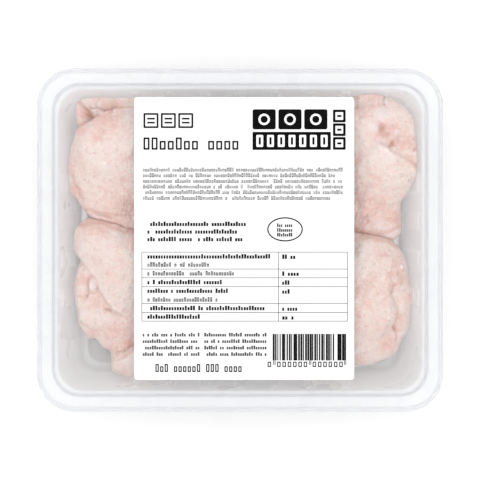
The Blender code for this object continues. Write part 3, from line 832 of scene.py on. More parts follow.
# heart and core: the middle of the flesh and the half sizes of the flat core that its rays start from
# edge: the outline seen from above, anticlockwise, as it looks at the film's height
# lump: (blend, centre, half sizes, turn about Z)
# roll: (blend, path, radii along it)
# scoop: as a lump, but hollowed out
# fold: (width, path seen from above, height, reach), lifts the skin on the left of its path
# crease: (width, path seen from above, depth), and a short one is a pit
# The pink, fat and dark red spot lists: (x, y, radius, strength) of pinker, whiter and dark red places; a
# few pink places beside the label are painted shadow of the label, and the dark red places are partly the
# flesh's colour and partly painted shade in pits, creases and seams
# wrinkles: (x, y, radius, heading in degrees, wavelength, height)
wingForms = {
    "wing_left_back": {
        "heart": (-52, 40, 14),
        "core": (24, 21),
        "edge": [(-84.8, 77.0), (-87.6, 74.4), (-87.7, 68), (-87.2, 62), (-86.4, 57.5), (-87.4, 54.6),
                 (-89.4, 51.0), (-90.8, 44), (-92.5, 37), (-92.8, 31.5), (-91.2, 26.6), (-87.6, 22.0),
                 (-85.2, 17.4), (-81.2, 13.9), (-77.6, 11.5), (-73, 10.4), (-69, 9.0), (-66, 8.7),
                 (-63.5, 7.2), (-56, 5.0), (-38, 5), (-22, 18), (-17, 42), (-26, 64), (-42, 75),
                 (-57, 77.0), (-64, 76.7), (-70, 77.2), (-77, 77.0)],
        "lobes": [
            ("lump", 8, (-64, 38, 14.5), (31, 30, 17.5), 0),
            ("lump", 10, (-34, 39, 13), (30, 27, 15), 0),
            ("lump", 9, (-70, 53, 16), (19, 17, 15), 0),
            ("lump", 8, (-58, 56, 17.5), (14, 16, 14), 0),
            ("roll", 1.6, [(-86.2, 74, 20.5), (-87.2, 66, 20), (-87, 58, 18)], [4.4, 4.0, 3.6]),
            ("roll", 1.6, [(-84, 75.6, 21.5), (-74, 76.2, 23), (-57, 76.8, 23), (-46, 73, 20)],
             [4.6, 4.8, 4.8, 6]),
            ("lump", 0.8, (-75.8, 69.6, 27.7), (6.0, 1.9, 3.4), 2),
            ("lump", 0.8, (-76.2, 73.4, 27.8), (1.4, 1.8, 1.6), 10),
            ("roll", 2.0, [(-78, 14.5, 17.5), (-68, 12.5, 18.5), (-56, 9.5, 18.5)], [6, 6.5, 6.5]),
            ("scoop", 0.7, (-82.8, 67.8, 27), (2.0, 4.6, 6.0), 14),
            ("scoop", 0.7, (-81.2, 65.9, 27), (3.4, 1.7, 6.5), 28),
        ],
        "skinMarks": [
            ("fold", 1.0, [(-60, 72.2), (-64, 71.6), (-68, 70.6), (-72, 69), (-77, 66.3), (-80, 64.2),
                           (-85, 61.4), (-94, 57)], 1.9, 12),
            ("crease", 0.7, [(-73.5, 70.8), (-70, 71.3), (-66.6, 72.3)], 2.2),
            ("crease", 0.6, [(-84, 72.2), (-80, 71.4), (-76, 71.6), (-73.5, 70.8)], 1.3),
            ("crease", 0.5, [(-84.6, 65.5), (-82.5, 64.2), (-79.5, 65.4)], 0.8),
            ("crease", 0.8, [(-72.5, 75), (-68, 74.2), (-63, 74.8)], 0.6),
            ("crease", 1.4, [(-90.4, 34), (-88.2, 28.5), (-86.4, 24.5), (-85.4, 22)], 0.9),
            ("crease", 1.0, [(-66, 32), (-60, 31.5), (-55, 30)], 0.5),
            ("crease", 0.7, [(-76.2, 28.2), (-73.5, 27.6), (-71.6, 25.8)], 0.7),
            ("crease", 0.8, [(-77, 13.6), (-73, 12.6), (-69, 11.6)], 1.1),
            ("crease", 2.4, [(-74.5, 57.5), (-71.8, 55)], 0.7),
        ],
        "pinkAndShadow": [(-70, 66, 9, 0.95), (-76.5, 54, 4, 0.9), (-74, 59, 5, 0.7), (-86, 68, 4, 0.6),
                  (-85, 60, 4, 0.8), (-88, 27, 4, 0.8), (-90, 38, 5, 0.55), (-60, 34, 6, 0.45),
                  (-64, 17, 14, 0.65), (-80, 18, 9, 0.4), (-78, 75, 6, 0.3), (-58, 44, 6, 0.4),
                  (-84, 30, 9, 0.35), (-87, 41, 7, 0.45), (-45, 30, 14, 0.4)],
        "fat": [(-60, 66, 5, 0.6), (-77, 69.5, 4.5, 0.7), (-76.2, 73.4, 1.6, 0.9), (-87.5, 72, 2.5, 0.6),
                (-72, 40, 8, 0.25), (-92, 33, 2, 0.6), (-72, 76.5, 3, 0.5), (-63, 76.5, 3.5, 0.5),
                (-82, 76.5, 3, 0.5)],
        "raw": [(-82.2, 69.6, 1.8, 0.9), (-81.2, 67.6, 1.9, 1.0), (-79.8, 66.4, 1.7, 1.0),
                (-82.8, 66.4, 2.4, 0.8), (-83.8, 64.2, 1.6, 0.5), (-71.5, 71.1, 1.2, 0.8),
                (-69.3, 71.5, 1.2, 1.0), (-67.4, 72.1, 1.0, 0.8), (-83.0, 71.8, 1.2, 0.6),
                (-80.4, 71.4, 1.2, 0.5), (-77.5, 71.5, 1.0, 0.4), (-85.8, 71, 2.6, 0.28),
                (-86.2, 65.5, 2.6, 0.28), (-72, 11.6, 2.4, 0.25), (-66, 10, 2.2, 0.3),
                (-61, 8.4, 2.0, 0.35), (-64, 7.8, 1.3, 0.5), (-59, 6.2, 1.6, 0.6)],
        "wrinkles": [(-66, 42, 14, 25, 2.4, 0.1), (-60, 20, 13, 70, 2.6, 0.12),
                     (-70, 71, 9, 170, 1.9, 0.12)],
    },
    "wing_left_front": {
        "heart": (-54, -24, 14),
        "core": (22, 18),
        "edge": [(-57, 6.0), (-63.5, 8.0), (-66, 9.4), (-69, 9.8), (-73, 11.2), (-77, 11.8),
                 (-82.8, 10.8), (-86.6, 8.2), (-88.8, 4), (-88.7, -3), (-87.2, -8), (-86.0, -11.2),
                 (-86.6, -15), (-87.7, -20), (-88.8, -27.5), (-87.6, -34), (-86.2, -40), (-85.8, -44.5),
                 (-83.0, -50.2), (-81.5, -53.0), (-80, -52.4), (-77.5, -52.6), (-73.4, -57.3),
                 (-70.2, -59.6), (-70.1, -64), (-69.6, -70.2), (-64.6, -72.3), (-59.5, -73.8), (-48, -72),
                 (-28, -62), (-13, -44), (-12, -24), (-24, -6), (-42, 2.5)],
        "lobes": [
            ("lump", 4, (-75.5, -3.5, 14), (14.5, 14.5, 15), 0),
            ("lump", 7, (-58, -17, 16), (23, 25, 16.5), -30),
            ("lump", 10, (-33, -30, 13), (31, 26, 15), 0),
            ("lump", 4, (-83.5, -26, 13), (7.5, 17, 12.5), 4),
            ("lump", 6, (-77, -38, 13.5), (12.5, 15, 13), 10),
            ("lump", 6, (-67, -48.5, 13), (16.5, 13.5, 12.5), -25),
            ("roll", 1.6, [(-62.5, -68.5, 10.5), (-50, -59, 12)], [8, 10.5]),
            ("lump", 2.0, (-79.2, -24.6, 23.8), (3.2, 5.2, 3.6), 12),
            ("roll", 2.0, [(-79, 7, 16.5), (-68, 4.8, 18), (-56, 1, 18.5)], [6, 6.5, 6.5]),
        ],
        "skinMarks": [
            ("fold", 0.9, [(-93, -4), (-85.5, -11.5), (-82.5, -15), (-80.2, -18.5), (-79.2, -21.5),
                           (-77, -25.5), (-74.5, -29), (-71.5, -33.5), (-68.5, -37.3), (-64, -40),
                           (-60, -43)], 1.6, 12),
            ("crease", 0.8, [(-81.9, -21.5), (-82.3, -25), (-82.0, -28.5), (-82.4, -31)], 1.2),
            ("crease", 0.8, [(-72.4, -37.4), (-69.8, -38)], 1.2),
            ("crease", 0.8, [(-86, -44.6), (-82, -47.2), (-78, -48.7), (-74.3, -49), (-72.3, -51)], 0.7),
            ("crease", 0.9, [(-74, -46.5), (-70.5, -48.5), (-66, -49)], 0.5),
            ("crease", 1.0, [(-55, -56), (-59, -58), (-62.5, -60.4), (-67, -61)], 1.5),
            ("crease", 0.8, [(-66, -66), (-62, -68), (-58, -68)], 0.6),
            ("crease", 0.7, [(-75.2, -39), (-75, -41)], 0.6),
        ],
        "pinkAndShadow": [(-82, 8, 5, 0.7), (-74, 9, 7, 0.7), (-57, 0, 6, 0.5), (-85, -22, 5, 0.8),
                  (-83, -30, 5, 0.7), (-78, -34, 6, 0.75), (-72, -37, 3, 0.6), (-66, -52, 9, 0.5),
                  (-80, -50, 5, 0.6), (-60, -56, 7, 0.75), (-68, -58, 5, 0.7), (-78, -12, 4, 0.5),
                  (-58, -40, 5, 0.5), (-70, -20, 5, 0.3), (-64, -70, 4, 0.3)],
        "fat": [(-79.2, -24.6, 4.2, 0.75), (-64, 3, 6, 0.5), (-85, -3, 4, 0.5), (-84, -40, 4, 0.5),
                (-63, -66, 4, 0.6), (-59, -61.5, 3, 0.7), (-58, -67, 4, 0.5), (-72, -44, 5, 0.4)],
        "raw": [(-82.2, -29.6, 1.3, 0.5), (-80, 10, 2.2, 0.3), (-75, 9.6, 2.2, 0.3), (-70, 8.6, 2.2, 0.3),
                (-64.5, 7.2, 1.6, 0.5), (-60, 5.6, 1.6, 0.6), (-57, 4.6, 1.6, 0.7),
                (-63, -59.6, 2.2, 0.4), (-59.5, -55.6, 3.2, 0.5), (-57, -55.5, 2.2, 0.5),
                (-70.8, -37.7, 1.3, 0.5), (-73, -50, 1.2, 0.4)],
        "wrinkles": [(-62, -35, 12, 35, 2.2, 0.1), (-60, -18, 16, 60, 2.8, 0.1),
                     (-68, -52, 10, 20, 2.2, 0.1), (-66, -48, 12, 110, 1.6, 0.08)],
    },
    "wing_right_back": {
        "heart": (58, 38, 14),
        "core": (24, 21),
        "edge": [(60, 79.2), (70, 79.5), (78, 78.9), (80.6, 75.4), (84, 73.4), (87.8, 71.6), (90.8, 68.8),
                 (93.6, 64.5), (94.8, 58), (96.3, 52.5), (97.9, 47.5), (97.6, 42), (95.2, 36.5),
                 (93, 31.5), (91.0, 28.6), (90.2, 26), (88.6, 23.4), (86.4, 20.4), (86.6, 14),
                 (87.4, 7.5), (86.4, 4), (83.6, 1.4), (81.2, 0.1), (76, 1.6), (70, 2.8), (66, 3.5),
                 (60, 4.6), (44, 8), (26, 20), (16, 40), (24, 62), (42, 76)],
        "lobes": [
            ("lump", 6, (70, 33, 16), (25, 24, 17), -35),
            ("lump", 7, (82, 58, 19), (12.5, 19, 13.5), 10),
            ("lump", 7, (70, 67, 19), (16, 11, 13), 0),
            ("lump", 6, (89, 48, 20), (8, 14, 13), 10),
            ("lump", 9, (72, 14, 12.5), (16, 14, 14.5), 0),
            ("lump", 10, (36, 40, 13), (32, 29, 15), 0),
            ("lump", 8, (60, 57, 17), (15, 15, 14), 0),
            ("roll", 3, [(58, 76.4, 32), (70, 76.8, 32.5), (77.5, 76.2, 31.5)], [1.6, 1.5, 1.2]),
            ("roll", 2.0, [(60, 9.5, 17), (72, 7, 18), (81, 5.5, 16.5)], [6.5, 6.5, 5.5]),
            ("roll", 5, [(89.5, 63, 27), (90.5, 57, 29), (91.5, 49, 30), (91, 40, 28)], [3.8, 4.2, 4.5, 4]),
            ("lump", 6, (64, 13.5, 14.5), (10, 9, 12), 0),
        ],
        "skinMarks": [
            ("fold", 0.9, [(99, 29), (95, 35.5), (93.5, 38), (91, 40.6), (88, 42.5), (84, 45), (81, 46.8),
                           (79, 49.4), (76, 50.7), (70, 53)], 2.0, 12),
            ("crease", 2.8, [(75.2, 61), (77.4, 56)], 1.0),
            ("crease", 0.7, [(74.8, 60.8), (76.2, 59.0), (76.0, 58.0)], 0.4),
            ("crease", 0.6, [(74.4, 58.8), (77.2, 60.8)], 0.3),
            ("crease", 1.1, [(81.0, 50.8), (81.5, 52.6)], 1.4),
            ("crease", 0.6, [(79.4, 49.6), (80.6, 50.8)], 0.5),
            ("crease", 0.5, [(82.4, 54.4), (83.6, 53.6)], 0.5),
            ("crease", 0.9, [(84, 55.5), (85, 53.5)], 0.8),
            ("crease", 0.8, [(92.3, 47.4), (92.7, 48.4)], 1.2),
            ("crease", 0.7, [(77, 73), (77.6, 71.9)], 0.9),
            ("crease", 0.9, [(79.2, 73.2), (82, 72.6)], 0.4),
            ("crease", 0.9, [(63, 71.5), (68, 72.3)], 0.5),
            ("crease", 0.7, [(62.5, 68), (63.4, 64.5)], 0.4),
            ("crease", 0.8, [(86, 19.6), (80, 18.8), (74, 19.4)], 0.5),
            ("crease", 0.7, [(64, 12), (68, 11)], 0.4),
        ],
        # The pink places at x = 61, beside the label's right edge, are painted shadow of the label
        "pinkAndShadow": [(72, 75, 7, 0.3), (76, 59, 5, 0.85), (88, 52, 9, 0.65), (83, 52, 4, 0.8),
                  (64, 68, 8, 0.3), (83, 59, 4, 0.7), (90, 42, 3.5, 0.9), (93.5, 39, 3, 0.9),
                  (66, 20, 13, 0.7), (82, 11, 6, 0.95), (62, 11, 8, 1.0), (70, 26, 10, 0.4),
                  (62, 32, 6, 0.5), (88, 58, 4, 0.5), (61, 42, 4, 0.75), (61, 69, 4, 0.65),
                  (61, 26, 4, 0.8), (72, 34, 8, 0.35)],
        "fat": [(75, 67, 5, 0.65), (80, 69, 5, 0.5), (71, 60, 4, 0.7), (75, 52, 4, 0.6), (80, 46, 6, 0.6),
                (72, 45, 8, 0.4), (79, 4.5, 6, 0.6), (83.5, 58, 1.4, 0.8), (78.5, 74, 1.6, 0.8),
                (93, 57, 3, 0.5)],
        "raw": [(75.8, 59.8, 1.7, 0.32), (77.5, 57.2, 2.4, 0.24), (81.2, 51.6, 1.6, 0.7),
                (82.5, 54, 0.8, 0.3), (92.4, 47.8, 1.0, 0.45), (77.3, 72.4, 0.9, 0.5),
                (86, 44, 1.6, 0.25), (62, 5.0, 2.0, 0.75), (65.5, 4.3, 1.9, 0.65), (69, 3.4, 1.6, 0.5),
                (73, 2.4, 1.5, 0.4), (77, 1.2, 1.4, 0.35), (63, 69, 1.6, 0.2), (62.8, 62, 1.6, 0.2)],
        "wrinkles": [(70, 30, 15, 20, 2.6, 0.12), (87, 54, 10, 80, 2.0, 0.15),
                     (66, 14, 12, 50, 2.4, 0.12), (76, 67, 6, 30, 1.8, 0.14),
                     (82, 58, 14, -20, 1.5, 0.09), (66, 20, 12, 0, 1.6, 0.07)],
    },
    "wing_right_front": {
        "heart": (56, -33, 14),
        "core": (24, 21),
        "edge": [(60, 5.4), (66, 4.4), (70, 3.6), (76, 2.2), (81, -0.2), (84, -3.4), (86.8, -6.8),
                 (88.8, -10.4), (90.6, -14), (91.5, -18.5), (92.2, -23), (93.6, -26.8), (93.8, -31),
                 (92.4, -37), (91.9, -43.5), (90.6, -48), (88.6, -52), (86.4, -55.4), (85.2, -58.8),
                 (82.8, -62), (77.4, -65.2), (70, -66.8), (60, -67.8), (44, -68), (26, -58), (14, -38),
                 (16, -18), (30, -2), (46, 4)],
        "lobes": [
            ("lump", 6, (65, -31, 15.5), (22, 36, 18), 3),
            ("lump", 9, (77, -15, 14), (14, 15, 15), 0),
            ("roll", 4, [(80, -8, 13), (85, -17, 14), (86, -32, 14), (85, -44, 13), (80, -55, 12)],
             [5, 6.5, 8, 7.5, 7]),
            ("lump", 10, (34, -34, 13), (32, 29, 15), 0),
            ("lump", 0.8, (86.9, -14.3, 24.6), (2.3, 2.4, 2.2), 0),
            ("lump", 0.8, (85.0, -21.3, 24.9), (1.8, 1.9, 1.8), 0),
            ("roll", 2.0, [(60, -1, 18.5), (72, -3, 18.5), (80, -5.5, 17.5)], [6.5, 6.5, 6]),
        ],
        "skinMarks": [
            ("fold", 0.8, [(82.4, -46.6), (83.4, -43.8), (84.2, -40.5), (84.2, -37.8), (83.2, -34.4),
                           (81.8, -31.6), (80.3, -28.6), (77, -26.5)], 1.6, 10),
            ("crease", 1.0, [(83.8, -23.6), (82.5, -25.6), (82.0, -27.4), (80.4, -29.4)], 0.9),
            ("crease", 0.7, [(82.9, -45.4), (82.5, -46.8), (83.3, -48.2)], 1.0),
            ("crease", 0.8, [(83.4, -48), (84.8, -50.5), (84.6, -54)], 0.8),
            ("crease", 0.7, [(85.5, -16.5), (84.8, -19)], 1.0),
            ("crease", 0.8, [(81.5, -14), (80.8, -20), (82, -23)], 0.5),
            ("crease", 0.8, [(75.5, -5), (78, -7.5), (81, -8)], 0.5),
        ],
        # The pink places at x = 61, beside the label's right edge, are painted shadow of the label
        "pinkAndShadow": [(78, -8, 5, 0.8), (83, -13, 5, 0.8), (80.5, -19, 4, 0.8), (83, -24, 3.5, 0.7),
                  (75, -10, 6, 0.5), (64, -27, 6, 0.7), (67, -33, 4, 0.6), (80, -57, 5, 0.95),
                  (86, -42, 3.5, 0.7), (84, -47, 3, 0.7), (72, -20, 5, 0.4), (72, -50, 9, 0.4),
                  (62, -62, 5, 0.6), (88, -30, 4, 0.4), (87, -20, 4, 0.6), (61, -28, 4, 0.75),
                  (61, -38, 4, 0.85), (61, -47, 4, 0.75), (72, -28, 9, 0.35)],
        "fat": [(86.9, -14.3, 2.4, 1.0), (85.0, -21.3, 2.0, 1.0), (68, -6, 7, 0.4), (62.5, -59, 3, 0.7),
                (71, -62.5, 3, 0.5), (89.5, -18, 2, 0.5), (88, -50, 3, 0.5), (76, -34, 6, 0.3)],
        "raw": [(81.8, -27, 1.6, 0.3), (82.8, -46.8, 1.0, 0.45), (85.2, -17.5, 1.2, 0.4),
                (85.2, -43.5, 2.2, 0.3), (85.6, -38.5, 2.4, 0.2), (62, 3.6, 1.3, 0.6),
                (66, 2.8, 1.3, 0.5), (71, 1.8, 1.1, 0.4), (76, 0.4, 1.0, 0.35)],
        "wrinkles": [(74, -46, 12, -28, 2.3, 0.16), (68, -14, 14, 30, 2.8, 0.1),
                     (64, -30, 10, 60, 2.4, 0.12), (79, -20, 12, 70, 1.6, 0.07)],
    },
}
wingSizes = {"edges": 122, "fan": 2.0, "gap": 0.15, "wallGap": 0.3, "rest": 1.5,
             "edgeCell": 0.5, "edgeMargin": 8, "edgeSpread": 1.009, "edgeBlend": 2.5,
             "bounds": (0.5, 37.5, 7), "pillow": (1.0, 24.0, 6.5), "pillowBlend": 4, "pillowInset": 0.7,
             "edgeRipple": 0.25,
             "foldFoot": (9, 18), "foldFade": (25, 35), "foldEnd": 6, "seed": 7,
             "waves": [(34, 0.9), (24, 0.6), (17, 0.35), (11, 0.2), (7, 0.12), (4.5, 0.07)],
             "wavesEach": 4, "poreSpacing": 3.0, "poreHeight": 0.24,
             "poreFoot": (8, 14), "creaseShadeDepth": 1.6, "wallTop": 35.0, "bracket": (0.1, 1.2),
             "grain": 0.55, "seamBlend": 3, "seamWidth": 1.8, "contact": 2.2,
             "rayStart": 46.0, "walkSteps": 90, "walkShare": 0.8, "walkLeast": 0.15, "halvings": 14}


def turned(points, degrees):
    cosine, sine = math.cos(math.radians(degrees)), math.sin(math.radians(degrees))
    return points @ np.array([[cosine, -sine, 0], [sine, cosine, 0], [0, 0, 1]])


def ease(share):
    share = np.clip(share, 0, 1)
    return share * share * (3 - 2 * share)


def lumpDistance(points, centre, halfSizes, turn):
    local = turned(points - np.array(centre), turn)
    sizes = np.array(halfSizes, float)
    scaled = np.linalg.norm(local / sizes, axis=1)
    return scaled * (scaled - 1) / (np.linalg.norm(local / sizes ** 2, axis=1) + 1e-9)


def rollDistance(points, path, radii):
    nearest = np.full(len(points), np.inf)
    for index in range(len(path) - 1):
        start = np.array(path[index], float)
        run = np.array(path[index + 1], float) - start
        share = np.clip((points - start) @ run / (run @ run), 0, 1)
        radius = radii[index] + (radii[index + 1] - radii[index]) * share
        away = np.linalg.norm(points - start - share[:, None] * run, axis=1)
        nearest = np.minimum(nearest, away - radius)
    return nearest


def pathSide(points, path):
    # Distance to a path seen from above, +1 on the left of its run or -1 on the right, and how far
    # along the run the nearest place is from the closer end
    nearest = np.full(len(points), np.inf)
    side = np.ones(len(points))
    along = np.zeros(len(points))
    walked = 0.0
    for start, end in zip(path, path[1:]):
        run = np.array(end, float) - start
        local = points[:, :2] - np.array(start)
        share = np.clip(local @ run / (run @ run), 0, 1)
        away = np.linalg.norm(local - share[:, None] * run, axis=1)
        across = np.sign(run[0] * local[:, 1] - run[1] * local[:, 0] + 1e-9)
        closer = away < nearest
        side = np.where(closer, across, side)
        along = np.where(closer, walked + share * np.hypot(*run), along)
        nearest = np.minimum(away, nearest)
        walked += np.hypot(*run)
    return nearest, side, np.minimum(along, walked - along)


def blend(first, second, width):
    overlap = np.maximum(width - np.abs(first - second), 0) / width
    return np.minimum(first, second) - overlap ** 2 * width / 4


def smoothLoop(corners, steps=5):
    # A closed curve that runs smoothly through the corners
    here = np.array(corners, float) * wingSizes["edgeSpread"]
    before, after, beyond = (np.roll(here, shift, axis=0) for shift in (1, -1, -2))
    stretches = []
    for t in np.arange(steps) / steps:
        bend = (after - before) * t
        bend += (2 * before - 5 * here + 4 * after - beyond) * t ** 2
        bend += (3 * here - before - 3 * after + beyond) * t ** 3
        stretches.append(here + bend / 2)
    return np.stack(stretches, axis=1).reshape(-1, 2)


def edgeField(corners):
    # Distance to the edge on a grid seen from above, under zero inside it
    loop = smoothLoop(corners)
    cell = wingSizes["edgeCell"]
    low = loop.min(axis=0) - wingSizes["edgeMargin"]
    across, along = ((loop.max(axis=0) + wingSizes["edgeMargin"] - low) / cell).astype(int) + 2
    column, row = np.meshgrid(np.arange(across), np.arange(along), indexing="ij")
    points = np.stack([column.ravel(), row.ravel()], axis=1) * cell + low
    nearest = pathSide(points, np.vstack([loop, loop[:1]]))[0]
    within = np.zeros(len(points), bool)
    for start, end in zip(loop, np.roll(loop, -1, axis=0)):
        spans = (start[1] > points[:, 1]) != (end[1] > points[:, 1])
        rise = end[1] - start[1]
        if rise:
            crossing = start[0] + (end[0] - start[0]) * (points[:, 1] - start[1]) / rise
            within ^= spans & (points[:, 0] < crossing)
    values = np.where(within, -nearest, nearest).reshape(across, along)
    return low, values


def planDistance(points, field):
    low, values = field
    spot = np.clip((points[:, :2] - low) / wingSizes["edgeCell"], 0, np.array(values.shape) - 1.001)
    corner = spot.astype(int)
    u, v = (spot - corner).T
    i, j = corner.T
    return ((1 - u) * (1 - v) * values[i, j] + u * (1 - v) * values[i + 1, j]
            + (1 - u) * v * values[i, j + 1] + u * v * values[i + 1, j + 1])


def cushionDistance(plan, heights, low, high, radius):
    # A slab that fills the edge, with its rims rounded
    sideways = plan + radius
    upright = np.abs(heights - (low + high) / 2) - (high - low) / 2 + radius
    outside = np.hypot(np.maximum(sideways, 0), np.maximum(upright, 0))
    return outside + np.minimum(np.maximum(sideways, upright), 0) - radius


def fleshWaves():
    draw = np.random.default_rng(wingSizes["seed"])
    waves = []
    for length, height in wingSizes["waves"]:
        for _ in range(wingSizes["wavesEach"]):
            heading = draw.normal(size=3)
            heading *= 2 * math.pi / length / np.linalg.norm(heading)
            waves.append((heading, draw.uniform(0, 2 * math.pi), height / 2))
    return waves


def formDistance(points, form, waves):
    # Under zero inside the wing, and about the distance to its surface outside
    total = np.full(len(points), 1e3)
    for kind, width, *shape in form["lobes"]:
        if kind == "lump":
            total = blend(total, lumpDistance(points, *shape), width)
        elif kind == "roll":
            total = blend(total, rollDistance(points, *shape), width)
    ripple = np.zeros(len(points))
    for heading, phase, height in waves:
        ripple = ripple + height * np.sin(points @ heading + phase)
    total = total + ripple
    plan = planDistance(points, form["field"])
    bounds = cushionDistance(plan, points[:, 2], *wingSizes["bounds"])
    total = -blend(-total, -bounds, wingSizes["edgeBlend"])
    pillow = cushionDistance(plan + wingSizes["pillowInset"], points[:, 2], *wingSizes["pillow"])
    total = blend(total, pillow, wingSizes["pillowBlend"])
    for kind, width, *shape in form["lobes"]:
        if kind == "scoop":
            total = -blend(-total, lumpDistance(points, *shape), width)
    return total + ripple * wingSizes["edgeRipple"]


def skinLift(points, form):
    # How far folds, creases and wrinkles raise the skin, in millimetres
    low, high = wingSizes["foldFoot"]
    onTop = ease((points[:, 2] - low) / (high - low))
    lift = np.zeros(len(points))
    for kind, width, path, *shape in form["skinMarks"]:
        nearest, side, fromEnd = pathSide(points, path)
        if kind == "crease":
            lift -= shape[0] * np.exp(-(nearest / width) ** 2)
        else:
            signed = side * nearest
            fadeLow, fadeHigh = wingSizes["foldFade"]
            fading = ease((fadeHigh - nearest) / (fadeHigh - fadeLow))
            fading = fading * ease(fromEnd / wingSizes["foldEnd"])
            raised = ease(0.5 + signed / width / 2) * np.exp(-np.maximum(signed, 0) / shape[1])
            valley = 0.4 * np.exp(-((signed + width) / (1.6 * width)) ** 2)
            lift += shape[0] * fading * (raised - valley)
    for x, y, radius, heading, length, height in form["wrinkles"]:
        across = math.radians(heading + 90)
        local = points[:, :2] - np.array((x, y))
        away = np.hypot(local[:, 0], local[:, 1]) / radius
        bent = points[:, 0] * math.cos(across) + points[:, 1] * math.sin(across)
        bent = bent + 0.9 * np.sin(points[:, 0] * 0.31 + points[:, 1] * 0.22)
        bent = bent + 0.5 * np.sin(points[:, 1] * 0.73)
        lift += height * np.sin(2 * math.pi * bent / length) * np.exp(-away ** 2)
    return lift * onTop


def lobeSeams(points, form):
    # Up to 1 in the narrow seams where one lobe is pressed against the next, for painted shade there
    total = np.full(len(points), 1e3)
    seamShade = np.zeros(len(points))
    for kind, width, *shape in form["lobes"]:
        if kind == "scoop":
            continue
        lobe = (lumpDistance if kind == "lump" else rollDistance)(points, *shape)
        if width <= wingSizes["seamBlend"]:
            seamShade = np.maximum(seamShade, 1 - np.abs(total - lobe) / wingSizes["seamWidth"])
        total = blend(total, lobe, width)
    return seamShade


def trayDistance(points):
    # Over zero where a point is closer to the tray than a wing may come
    rows = [row for row in traySection()
            if row[1] <= wingSizes["wallTop"] and row[0] <= traySizes["panelInset"]][::-1]
    heights = [row[1] + 0.01 * index for index, row in enumerate(rows)]
    inset = np.interp(points[:, 2], heights, [row[0] for row in rows])
    inset = inset + traySizes["ribDepth"] + wingSizes["wallGap"]
    radius = np.interp(points[:, 2], heights, [row[2] for row in rows])
    beyondX = np.abs(points[:, 0]) - (trayLength / 2 - inset - radius)
    beyondY = np.abs(points[:, 1]) - (trayWidth / 2 - inset - radius)
    corner = np.hypot(np.maximum(beyondX, 0), np.maximum(beyondY, 0))
    wall = corner + np.minimum(np.maximum(beyondX, beyondY), 0) - radius
    return np.maximum(wall, wingSizes["rest"] - points[:, 2])


def surfaceReach(starts, rays, distance):
    # How far each ray runs to the outermost surface, found by walking inwards from outside
    reach = np.full(len(rays), wingSizes["rayStart"])
    walking = np.arange(len(rays))
    for _ in range(wingSizes["walkSteps"]):
        gap = distance(starts[walking] + rays[walking] * reach[walking, None])
        outside = gap > 0
        walking = walking[outside]
        if len(walking) == 0:
            break
        steps = np.maximum(gap[outside] * wingSizes["walkShare"], wingSizes["walkLeast"])
        reach[walking] = np.maximum(reach[walking] - steps, 1.0)
    inwards, outwards = wingSizes["bracket"]
    near, far = reach - inwards, reach + outwards
    for _ in range(wingSizes["halvings"]):
        middle = (near + far) / 2
        within = distance(starts + rays * middle[:, None]) < 0
        near = np.where(within, middle, near)
        far = np.where(within, far, middle)
    return near


def storeShare(mesh, name, values):
    storeValues(mesh, name, np.clip(values, 0, 1))


def spotShare(points, spots):
    share = np.zeros(len(points))
    for x, y, radius, strength in spots:
        away = np.hypot(points[:, 0] - x, points[:, 1] - y) / radius
        share = np.maximum(share, strength * np.exp(-away ** 2))
    return share


def poreTree(finish):
    # Raised pores where feathers grew, closer where the skin is drawn tight
    tree, given = newTree("skinPores", {"Spacing": "Float", "Height": "Float", "Grain": "Float"})
    place = tree.nodes.new("GeometryNodeInputPosition").outputs[0]
    normal = tree.nodes.new("GeometryNodeInputNormal").outputs[0]
    scale = calc(tree, "DIVIDE", 1.0, given["Spacing"])
    cells = addNode(tree, "ShaderNodeTexVoronoi", {"Vector": place, "Scale": scale, "Randomness": 0.75})
    patch = addNode(tree, "ShaderNodeTexNoise", {"Vector": place, "Scale": 55.0, "Detail": 2.0}).outputs[0]
    bare = addNode(tree, "GeometryNodeInputNamedAttribute", {"Name": "bare"}, data_type="FLOAT").outputs[0]
    peak = ramp(tree, cells.outputs["Distance"], 0.05, 0.34, 1.0, 0.0)
    share = calc(tree, "MULTIPLY", peak, ramp(tree, patch, 0.4, 0.62))
    share = calc(tree, "MULTIPLY", share, calc(tree, "SUBTRACT", 1.0, bare))
    rise = calc(tree, "MULTIPLY", share, given["Height"])
    lumpy = addNode(tree, "ShaderNodeTexNoise", {"Vector": place, "Scale": 210.0, "Detail": 3.0}).outputs[0]
    uneven = calc(tree, "MULTIPLY", calc(tree, "SUBTRACT", lumpy, 0.5), given["Grain"])
    rise = calc(tree, "ADD", rise, calc(tree, "MULTIPLY", uneven, calc(tree, "SUBTRACT", 1.0, bare)))
    push = addNode(tree, "ShaderNodeVectorMath", {0: normal, "Scale": rise}, operation="SCALE").outputs[0]
    raised = addNode(tree, "GeometryNodeSetPosition", {0: given["Geometry"], "Offset": push})
    kept = addNode(tree, "GeometryNodeStoreNamedAttribute",
                   {0: raised.outputs[0], "Name": "follicle", "Value": share},
                   data_type="FLOAT", domain="POINT")
    closeTree(tree, kept.outputs[0], finish)
    return tree


